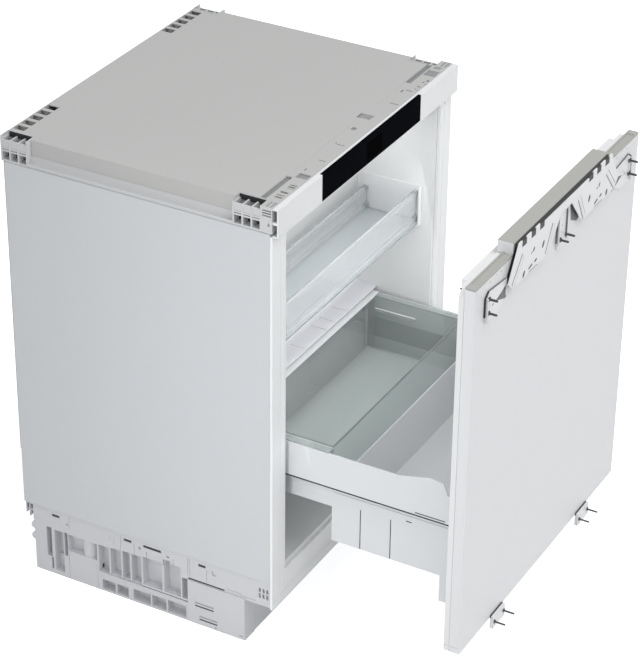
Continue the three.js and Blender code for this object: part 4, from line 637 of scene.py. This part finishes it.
def serpentine(left, right, depth, heights, bend):
    """Points of a pipe that runs to and fro between two ends at several heights, in mm."""
    points = []
    for i, height in enumerate(heights):
        ends = (left, right) if i % 2 == 0 else (right, left)
        points += [(ends[0], depth, height), (ends[1], depth, height)]
        if i + 1 < len(heights):
            rise = (heights[i + 1] - height) / 2
            way = 1 if i % 2 == 0 else -1
            for k in range(1, 8):
                angle = math.pi * k / 8
                points.append((ends[1] + way * bend * math.sin(angle), depth,
                               height + rise * (1 - math.cos(angle))))
    return points


coil_heights = [446, 476, 506, 536, 566, 596]
coils = [bent_pipe(serpentine(-168, 168, depth, coil_heights, 5), 4) for depth in (372, 412)]
evaporator = new_piece("evaporator_finished", joined([fins, *coils]), bare_aluminium, "cabinet")
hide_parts("evaporator")

# ---------------------------------------------------------------- rack
# Two white end plates carry a glass shelf, a clear front guard and a clear rear guard. The
# guards' rims end in small grey caps.
clear_moulding = finish("clear_moulding", "#EDEFF0", 0.05, grain=40, relief=0.0, mottle=0.005, spread=0.02,
                        Transmission_Weight=0.8, IOR=1.14)
shelf_glass = finish("shelf_glass", "#D9DFE1", 0.03, grain=40, relief=0.0, mottle=0.005, spread=0.02,
                     Transmission_Weight=0.7, IOR=1.14)
for side in ("left", "right"):
    refine(f"rack_end_plate_{side}", satin_white, 0.6)
flanges = block_mesh(both_sides(((241, 251.7), (35.6, 37.9), (534, 606))))
new_piece("rack_plate_flanges", flanges, satin_white, "cabinet", 0.8)
refine("rack_glass_shelf", shelf_glass, 0.6).visible_shadow = False
for node in ("rack_front_guard", "rack_rear_guard"):
    refine(node, clear_moulding, 0.8).visible_shadow = False
cap_grey = finish("cap_grey", "#B4B8BC", 0.4, grain=900, relief=0.02, mottle=0.02)
caps = []
for y, heights in (((40.6, 49.4), (541.9, 589.8)), ((135.6, 144.4), (541.9, 575.8))):
    caps += both_sides(*(((243.5, 249.1), y, (z, z + 8.6)) for z in heights))
new_piece("rack_rim_caps", block_mesh(caps), cap_grey, "cabinet", 1.2)

# ---------------------------------------------------------------- base
# Light grey glass-filled mouldings with open pockets between ribs, where the feet, the cord
# and the plinth are fixed. Smooth covers close them at the front.
base_grey = finish("base_moulding_grey", "#CDCED1", 0.5, grain=1200, relief=0.03, mottle=0.015)
skirt_cuts = [(1.0, (y, y + 1), z) for y, z in (
    (406.5, (105, 127)), (303.5, (95, 127)), (276.5, (97, 120)), (252, (97, 112)), (200, (97, 116)),
    (172, (93, 127)), (168, (93, 127)), (135.5, (93, 116)))]
skirt_cuts += [(2.5, (409, 413), (110, 113)), (3.5, (208, 214), (114.5, 117.5)), (3, (264, 268), (112, 118)),
               (2, (118, 126), (110, 112)), (2, (122, 126), (110, 118)), (3.5, (102, 172), (86.6, 89.6)),
               (1, (69, 98), (92.2, 93.2)), (1, (42, 70), (89.3, 90.3)), (1, (69, 70), (89.3, 93.2)),
               (5, (172, 328), (37.5, 40)), (0.7, (323, 327), (117, 118.2)), (0.7, (323, 327), (111, 112.2)),
               (0.7, (315, 319), (117, 118.2)), (0.7, (316, 319), (111, 114)),
               (0.7, (316, 319), (105, 107.5)), (0.8, (351.6, 352.6), (1, 51)), (0.8, (409, 410), (1, 51)),
               (6, (207, 221), (95, 109)), (26, (445, 454), (34.2, 93.8)), (26, (411.5, 418), (46, 93.6)),
               (16, (172.5, 184), (43.2, 85)), (18, (421, 437.5), (36, 91.5)), (8, (442, 446), (9, 33))]
skirt_cuts += [(17, (y0 + 0.2, y1 - 0.2), (z0 + 0.2, z1 - 0.2)) for y0, y1, z0, z1 in (
    (328, 349, 38, 93), (304, 325, 40, 95), (286, 301, 40, 97), (264, 283, 40, 97), (223, 261, 43, 100),
    (187, 219, 43, 104), (317, 343, 4, 24), (291, 314, 4, 24), (247, 281, 4, 26), (216, 244, 4, 27),
    (177, 213, 4, 28))]
cover_cuts = [((295, 298), (66, 73), (7.2, 9)), ((295, 298), (117, 119.4), (4, 8)),
              ((295, 298), (101, 106), (1, 5))]
for side, name in SIDES:
    cuts = [((side * (295.5 - deep), side * 296), y, z) for deep, y, z in skirt_cuts]
    refine(f"base_skirt_{name}", base_grey, 0.5, cuts, faces="triangles")
    refine(f"skirt_cover_{name}", base_grey, 0.4, on_side(side, cover_cuts))
louvre_bars = block_mesh(both_sides(((292, 295.3), (18.5, 37.5), (106.8, 109.4))))
new_piece("louvre_bars", louvre_bars, base_grey, "cabinet", 0.4)
BAND_SLOTS = ((426, 441), (282, 297), (224, 259), (138, 152))
# Black sheets behind the band's slots, the covers' slots, a groove and a pocket's slot paint the shade inside
# them.
slot_shades = both_sides(*(((290.6, 294.8), y, (119.2, 123.8)) for y in BAND_SLOTS),
                   ((295.55, 297.5), (122.1, 157.9), (37.6, 40.2)),
                   ((295.55, 297.5), (115.1, 149.9), (11.6, 14.2)),
                   ((292, 295.2), (102, 172), (87, 89.4)), ((280, 285), (348.6, 349.6), (38.6, 46)))
new_piece("slot_painted_shade", block_mesh(slot_shades), black_plastic, "cabinet")
FULL_DEPTH = (276, 295.5)
ends = both_sides((FULL_DEPTH, (478, 480), (99, 133)), (FULL_DEPTH, (485.6, 487.4), (104, 133)),
                  (FULL_DEPTH, (492.4, 494), (110, 133)), (FULL_DEPTH, (480, 494), (117, 119)),
                  (FULL_DEPTH, (480, 494), (130, 133)), ((276, 279), (480, 494), (104, 133)))
# Black sheets at the back of the band ends' pockets paint the shade in them.
end_painted_shade = block_mesh(both_sides(((279, 282), (480, 493), (106, 131))))
new_piece("band_ends", block_mesh(ends), base_grey, "cabinet", 0.4)
new_piece("band_end_painted_shade", end_painted_shade, black_plastic, "cabinet")
refine("plinth_panel", base_grey, 0.6)


def thread_mesh(radius, depth, pitch, bottom, top, steps=14):
    """The ridge of a screw's thread, wound round the upright axis, in mm."""
    count = int((top - bottom) / pitch * steps)
    points, faces = [], []
    for i in range(count + 1):
        angle = 2 * math.pi * i / steps
        height = bottom + pitch * i / steps
        for reach, rise in ((radius - 0.1, -pitch * 0.42), (radius + depth, 0), (radius - 0.1, pitch * 0.42)):
            points.append((reach * math.cos(angle) / 1000, reach * math.sin(angle) / 1000,
                           (height + rise) / 1000))
    for i in range(count):
        a = i * 3
        faces += [(a, a + 3, a + 4, a + 1), (a + 1, a + 4, a + 5, a + 2)]
    mesh = bpy.data.meshes.new("thread")
    mesh.from_pydata(points, [], faces)
    return mesh


for node, x, y, body in (
        ("foot_front_left", -280.5, 100, "foot_fl"), ("foot_front_right", 280.5, 100, "foot_fr"),
        ("foot_rear_left", -280.5, 373, "foot_rl"), ("foot_rear_right", 280.5, 373, "foot_rr")):
    pad = turned_mesh([(0, 1), (9.6, 1), (11, 2), (11, 7), (10, 8.6), (5.4, 9), (5.4, 12), (3.4, 12.4),
                       (3.4, 70.4), (2.8, 71), (0, 71)], (x, y, 0))
    ridge = thread_mesh(3.4, 0.6, 1.5, 13.5, 69.5)
    ridge.transform(Matrix.Translation(at(x, y, 0)))
    foot = new_piece(node + "_finished", joined([pad, ridge]), black_plastic, body)
    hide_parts(node)

# ---------------------------------------------------------------- machine room
# A black painted compressor on rubber grommets with its drip tray on top, a finned condenser,
# and the moulded inlet for the cord.
black_paint = finish("black_paint", "#202123", 0.42, grain=800, relief=0.03, mottle=0.1, Metallic=0.2)
pot = turned_mesh([(0, 13.3), (46, 13.3), (60, 18), (67, 30), (68.6, 44), (68.6, 84), (70, 85.5), (70, 91.5),
                   (68.6, 93), (68.4, 128), (65, 146), (54, 160), (34, 168), (0, 170.3)],
                  (-130.5, 390, 0), steps=64)
plate = block_mesh([
    ((-220.5, -40.5), (335, 445), (10.3, 13.3)), ((-220.5, -218.5), (335, 445), (10.3, 18)),
    ((-42.5, -40.5), (335, 445), (10.3, 18)), ((-66, -48), (372, 408), (60, 112))])
grommet_profile = [(0, 3.3), (9, 3.3), (9, 5), (6.4, 6), (6.4, 8), (9, 9), (9, 10.6), (5, 13.5), (5, 16),
                   (0, 16.4)]
grommet = turned_mesh(grommet_profile, (-211.5, 344, 0), steps=20)
grommets = in_a_row(in_a_row(grommet, black_paint, 2, (162, 0, 0)), black_paint, 2, (0, 92, 0))
compressor = new_piece("compressor_finished", joined([pot, plate, grommets]), black_paint,
                       "cabinet")
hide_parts("compressor")
refine("drip_tray", black_plastic, 0.8)
zinc_steel = finish("zinc_plated_steel", "#B6B9BB", 0.3, grain=260, relief=0.006, mottle=0.05, spread=0.08,
                    brushed=(1, 0.06, 1), Metallic=0.9)
fin = block_mesh([((39.5, 40.1), (330, 450), (3.4, 149.2))])
fins = in_a_row(fin, zinc_steel, 41, (5, 0, 0))
pipes = [bent_pipe(serpentine(37.5, 241.5, depth, (16, 46, 76, 106, 136), 5.5), 3.4)
         for depth in (352, 390, 428)]
condenser = new_piece("condenser_finished", joined([fins, *pipes]), zinc_steel, "cabinet")
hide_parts("condenser")
refine("power_inlet", black_plastic, 0.6)

# ---------------------------------------------------------------- drawer
# White side panels on telescopic rails, a white bottle bin beside the door, and a rear bin of
# clear tinted plastic on a grey mat, with a white rim behind it. Black strips in the gaps and
# grooves of the panels and of the bottle bin are painted shade, and the drawer's own rail members
# are a mid grey that paints the shade beside the bin.
# The drawer's own rail members are a flat mid grey: painted shade where they show through the bin and in the
# gap under the side panels.
rail_shade_grey = finish("rail_shade_grey", "#8E9395", 0.5, grain=900, relief=0.006, mottle=0.01)
for side in ("left", "right"):
    for rail in ("rail_fixed", "rail_middle", "rail_drawer"):
        look = rail_shade_grey if rail == "rail_drawer" else zinc_steel
        refine(f"{rail}_{side}", look, 0.2)
side_cuts = [((242, 246), (-268, -215), (321.4, 323.4)), ((242, 246), (-290, -286.6), (384, 387.4)),
             ((244.3, 246), (-309, 124), (316.2, 319))]
for side, name in SIDES:
    refine(f"drawer_side_{name}", drawer_white, 0.5, on_side(side, side_cuts))
refine("drawer_cross_rail", drawer_white, 0.8)
BIN_GROOVES = (-113, -167)
bin_cuts = both_sides(*(((231, 233), (y - 0.8, y + 0.8), (201, 284)) for y in BIN_GROOVES),
                      ((230.6, 233), (-204, -194), (290, 292)))
refine("bottle_bin", drawer_white, 0.8, bin_cuts)
# Black strips in the gap under each side panel, in its slots and in the bottle bin's grooves paint the shade
# in them.
lines = both_sides(((243.8, 244.9), (-300, 122.5), (316.3, 319)),
                   ((243, 244.8), (-267.8, -215.2), (321.5, 323.3)),
                   ((230.8, 231.9), (-203.8, -194.2), (290.1, 291.9)),
                   *(((231.1, 231.9), (y - 0.7, y + 0.7), (208.5, 283.8)) for y in BIN_GROOVES))
new_piece("drawer_gap_painted_shade", block_mesh(lines), black_plastic, "drawer")
plates = block_mesh(both_sides(((229.85, 230.2), (-60, 119), (342, 383))))
new_piece("rail_cover_plates", plates, drawer_white, "drawer")
strips = block_mesh(both_sides(((231.7, 232.4), (-298, 122), (303, 311))))
new_piece("rail_cover_strips", strips, drawer_white, "drawer")
tinted_clear = finish("tinted_clear_bin", "#E1E7E6", 0.04, grain=40, relief=0.0, mottle=0.005, spread=0.02,
                      Transmission_Weight=0.75, IOR=1.2)
refine("glass_bin", tinted_clear, 0.9).visible_shadow = False
floor_mat = finish("bin_floor_mat", "#C2C8C7", 0.5, grain=900, relief=0.01)
mat = block_mesh([((-224, 224), (-59, 119), (276.6, 277.6))])
new_piece("bin_floor_mat", mat, floor_mat, "drawer")
refine("bin_rear_rim", drawer_white, 0.8)
posts = both_sides(((212, 225.8), (118.8, 119.8), (281.2, 380)), ((224.8, 225.8), (108, 118.8), (281.2, 380)))
posts = new_piece("bin_corner_posts", block_mesh(posts), clear_moulding, "drawer")
posts.visible_shadow = False
edge_green = finish("bin_edge_green", "#5A6463", 0.3, grain=600, relief=0.0)
lines = [((-225, 225), (-61.2, -60.2), (383.4, 384.2)),
         *both_sides(((226.6, 227.6), (-60, 107), (383.4, 384.2)))]
new_piece("bin_edge_lines", block_mesh(lines), edge_green, "drawer")
bar_edge = block_mesh([((219, 221), (25, 103), (364.6, 365.4))])
new_piece("bin_bar_edge", bar_edge, satin_white, "drawer")

# ---------------------------------------------------------------- door
# Painted steel front tray and moulded back tray around foam, with a soft seal. A grey trim
# closes the top edge, and a fine seam runs round near the bottom.
door_enamel = finish("door_enamel", "#E1E1E3", 0.4, grain=650, relief=0.03, mottle=0.006)
seal_grey = finish("seal_grey", "#E6E6E7", 0.65, grain=900, relief=0.04)
trim_grey = finish("trim_grey_beige", "#ABABA6", 0.5, grain=1200, relief=0.03)
seams = both_sides(((297.6, 299), (-327, -298), (133.4, 134.2)))
refine("door_front_panel", door_enamel, 0.9, seams)
refine("door_back_panel", liner_white, 1.0, seams)
refine("door_gasket", seal_grey, 1.5)
refine("door_top_trim", trim_grey, 0.8)
bar_ends = block_mesh(both_sides(((172.6, 173.3), (-325.4, -299.6), (774.8, 794.4))))
new_piece("bar_end_faces", bar_ends, satin_white, "drawer", 0.3)
# Black dots on the door's face paint the shade inside its small holes.
hole_shade_dots = block_mesh(both_sides(*(
    ((x - 0.8, x + 0.8), (-326.1, -325.6), (z - 0.8, z + 0.8))
    for x, z in ((250, 768.2), (231, 771.6), (212, 767)))))
new_piece("door_hole_painted_shade", hole_shade_dots, black_plastic, "drawer")
corner_stop = block_mesh([((-298.2, -296), (-303, -300), (772.6, 774))])
new_piece("door_corner_stops", corner_stop, black_plastic, "drawer", 0.4)

# ---------------------------------------------------------------- furniture front's fittings
# White coated pressed steel: a wide traverse on two feet, a bracket at each end and one in the
# middle with adjusting bolts, and two clamps at the door's lower edge.
coated_white = finish("coated_white_steel", "#E6E7E7", 0.38, grain=700, relief=0.02, mottle=0.008)
dark_steel = finish("dark_steel", "#55575A", 0.45, grain=500, relief=0.01, mottle=0.05, Metallic=0.5)
shade_grey = finish("shade_grey", "#6E7073", 0.6, grain=900, relief=0.02, mottle=0.03)


# Depths from front to rear: of the traverse and of holes through it, of the bracket plates and of
# holes through them, and of the sheets of painted shade seen beside and behind them.
TRAVERSE, TRAVERSE_HOLE = (-334, -332), (-335, -331)
BRACKET, BRACKET_HOLE = (-328.3, -326.3), (-329, -326)
ON_TRAVERSE, BESIDE, BEHIND, VEE = (-334.3, -333.9), (-328.3, -326.4), (-327.2, -326.4), (-326.9, -326.4)
NOTCHES = (-152, -120, -90, 90, 120, 152)


def prism_mesh(outline, depths, side=1):
    """A sheet cut to an outline of (x, z) in mm, mirrored where the side is -1, between two depths."""
    work = bmesh.new()
    rings = [[work.verts.new(at(side * x, y, z)) for x, z in outline] for y in depths]
    for i in range(len(outline)):
        j = (i + 1) % len(outline)
        work.faces.new((rings[0][i], rings[0][j], rings[1][j], rings[1][i]))
    for ring in rings:
        work.faces.new(ring)
    bmesh.ops.recalc_face_normals(work, faces=work.faces)
    mesh = bpy.data.meshes.new("prism")
    work.to_mesh(mesh)
    work.free()
    return mesh


def bar_between(start, end, width, depths, side=1, aside=0.0):
    """A straight bar from one (x, z) to another, moved aside by a distance."""
    ends = [Vector((side * point[0], point[1])) for point in (start, end)]
    along = (ends[1] - ends[0]).normalized()
    across = Vector((-along.y, along.x))
    ends = [point + across * aside for point in ends]
    half = across * width / 2
    corners = [ends[0] + half, ends[0] - half, ends[1] - half, ends[1] + half]
    return prism_mesh([tuple(corner) for corner in corners], depths)


def leaning_oval(x, z, half_width, half_height, lean):
    """Outline of an oval hole whose top leans sideways."""
    turns = [2 * math.pi * i / 20 for i in range(20)]
    return [(x + half_width * math.cos(turn) + lean * math.sin(turn), z + half_height * math.sin(turn))
            for turn in turns]


plate = prism_mesh([(20, 777), (62, 727), (188, 727), (202, 741), (170, 796),
                    (-170, 796), (-202, 741), (-188, 727), (-62, 727), (-20, 777)], TRAVERSE)
notches = [((x - 8, x + 8), TRAVERSE_HOLE, (784, 797)) for x in NOTCHES]
holes = [block_mesh([*notches, ((-82, 82), TRAVERSE_HOLE, (791.5, 797))])]
dark = []
for x, z, half_width, half_height, lean in (
        (-82.4, 753.8, 2.6, 5.6, 2), (87.3, 754, 2.6, 5.6, 1.4), (-149.2, 734.3, 2.6, 5, 2),
        (156, 734.3, 2.6, 5, 1), (-116.2, 761, 2, 3.6, 1.6), (125, 761.4, 2, 3.6, 1.6),
        (-123.5, 758.4, 1.2, 2, 1), (116.7, 758.7, 1.2, 2, 1), (-108, 738.4, 3.4, 2.2, 1.4),
        (132.2, 739.4, 3.4, 2.2, 1.4)):
    outline = leaning_oval(x, z, half_width * 1.3, half_height * 1.05, lean)
    holes.append(prism_mesh(outline, TRAVERSE_HOLE))
    # A black oval behind each hole paints the shade seen through it.
    dark.append(prism_mesh(outline, (-333.95, -332.4)))
plate = carve(plate, joined(holes))
feet = block_mesh([((x - 2, x + 2), (-333, -326.3), (727, 767)) for x in (-104, 104)])
traverse = new_piece("mounting_traverse_finished", joined([plate, feet]), coated_white,
                     "drawer", 0.3)
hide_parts("mounting_traverse")

# Grey lines along both sides of each raised rib and by the stamped marks paint their shade.
ribs, rib_painted_shade = [], []
for side in (-1, 1):
    for start, end in (((154, 770), (187, 732)), ((47, 773), (70, 730))):
        ribs += [bar_between(start, end, 8, (-334.6, -333.9), side),
                 bar_between(start, end, 5, (-335.1, -334.5), side)]
        rib_painted_shade += [bar_between(start, end, 1.2, ON_TRAVERSE, side, aside) for aside in (-4.6, 4.6)]
for x in (-117.5, 124):
    rib_painted_shade += [bar_between((x - 15, 729), (x + 15, 729), 1, (-334.2, -333.9)),
                  bar_between((x - 15, 735), (x - 3, 738), 4, (-334.2, -333.9))]
new_piece("traverse_ribs", joined(ribs), coated_white, "drawer", 0.3)
new_piece("traverse_rib_painted_shade", joined(rib_painted_shade), shade_grey, "drawer")

# Black sheets paint the shade in the gap under the top bar, in the notches, round the traverse's edge and
# beside and in the end brackets. Grey sheets paint the softer shade in the brackets' hollows, in the vee and
# beside the centre bracket.
dark += [block_mesh([((-169, 169), (-331.8, -326.5), (783.4, 793))]),
         block_mesh([((x - 7.8, x + 7.8), (-333.7, -331.9), (784.2, 793.5)) for x in NOTCHES])]
shade = []
traverse_shade_outline = [(66, 731), (184, 731), (197, 741), (167, 791), (20, 791), (33, 768)]
hollow = [(194, 742), (194, 716), (204, 716), (237, 728), (216, 737)]
for side in (-1, 1):
    dark += [prism_mesh(traverse_shade_outline, BEHIND, side), bar_between((267.3, 717), (267.3, 748), 2.6, BESIDE, side),
             bar_between((267.3, 748), (256.4, 755.4), 2.6, BESIDE, side),
             prism_mesh([(194, 742), (194, 729), (206, 735)], (-327.5, -327.1), side)]
    shade += [bar_between((256.4, 755.4), (198, 748.8), 2.4, (-328, -326.4), side),
              prism_mesh(hollow, BEHIND, side)]
shade += [prism_mesh([(33, 768), (38, 737), (58, 727), (66, 730)], VEE),
          prism_mesh([(-5, 766), (-19, 731), (-7, 722)], VEE),
          block_mesh([((13.4, 14.3), (-330.6, -328.3), (722, 768)),
                      ((-18.4, -17.1), (-329, -326.4), (722, 770))])]
new_piece("fitting_gap_painted_shade", joined(dark), black_plastic, "drawer")
new_piece("fitting_shades", joined(shade), shade_grey, "drawer")


def threaded(profile, radius, pitch, bottom, top):
    """A bolt or screw turned from its outline, its thread wound on, lying with its tip to the front."""
    core = turned_mesh(profile, (0, 1000 * -FASCIA_FACE, 0), steps=12)
    whole = joined([core, thread_mesh(radius, 0.4, pitch, bottom, top, steps=10)])
    whole.transform(Matrix.Rotation(math.radians(90), 4, "X"))
    return whole


bolt = threaded([(0, 0), (4, 0), (4, 2.2), (3.4, 2.8), (1.7, 2.8), (1.7, 14.4), (1, 15.6), (0, 15.6)],
                1.7, 1.1, 3.4, 14.2)
screw = threaded([(0, 0), (3.4, 0), (3.4, 1.2), (1.4, 2), (1.4, 18.4), (0.3, 20), (0, 20)],
                 1.4, 1.3, 2.6, 18.2)
rows = []
for part, (x, z), step, depth in (
        (bolt, (-258.4, 721), (0, 23.5), 328.3), (bolt, (258.4, 721), (0, 23.5), 328.3),
        (bolt, (-7, 724), (22.6, 0), 328.3), (screw, (-182, 114), (34, 0), 332.3),
        (screw, (148, 114), (34, 0), 332.3)):
    pair = in_a_row(part, dark_steel, 2, (step[0], 0, step[1]))
    pair.transform(Matrix.Translation(at(x, -depth, z)))
    rows.append(pair)
new_piece("bolts_and_screws", joined(rows), dark_steel, "drawer")

outline = [(196, 722), (228, 706), (266, 706), (266, 748), (256, 755), (196, 749)]
opening = [(198, 740), (198, 719), (203, 718), (234, 728.4), (214, 734)]
for side, name in SIDES:
    slot = block_mesh(on_side(side, [((239.5, 244), BRACKET_HOLE, (724, 729))]))
    sheet = carve(prism_mesh(outline, BRACKET, side), joined([prism_mesh(opening, BRACKET_HOLE, side), slot]))
    fold = block_mesh(on_side(side, [((263.4, 266), (-331.5, -328.2), (708, 748)),
                                     ((256, 261), (-329.6, -328.2), (717, 749))]))
    bracket = new_piece(f"end_bracket_{name}_finished", joined([sheet, fold]), coated_white,
                        "drawer", 0.3)
    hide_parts(f"end_bracket_{name}")
sheet = prism_mesh([(-17, 712), (-13, 708), (13, 708), (17, 712), (17, 782), (-17, 782)], BRACKET)
sheet = carve(sheet, block_mesh([((-1.4, 1.4), BRACKET_HOLE, (743, 747)),
                                 ((2, 4.6), BRACKET_HOLE, (730, 733))]))
fold = block_mesh(both_sides(((14.4, 17), (-331.4, -328.2), (716, 776))))
bracket = new_piece("centre_bracket_finished", joined([sheet, fold]), coated_white,
                    "drawer", 0.3)
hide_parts("centre_bracket")
for side, name in SIDES:
    x = (side * 165 - 22, side * 165 + 22)
    blocks = block_mesh([(x, (-332.3, -328.2), (102, 125.6)), (x, (-328.2, -326.3), (102, 122))])
    clamp = new_piece(f"door_clamp_{name}_finished", blocks, coated_white, "drawer", 0.5)
    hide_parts(f"door_clamp_{name}")
# A black strip between each clamp and the door paints the shadow gap along the door's lower edge.
gap_shade_strips = block_mesh([((x - 21.8, x + 21.8), (-328.1, -326.4), (122, 126)) for x in (-165, 165)])
new_piece("clamp_gap_shade_strips", gap_shade_strips, black_plastic, "drawer")
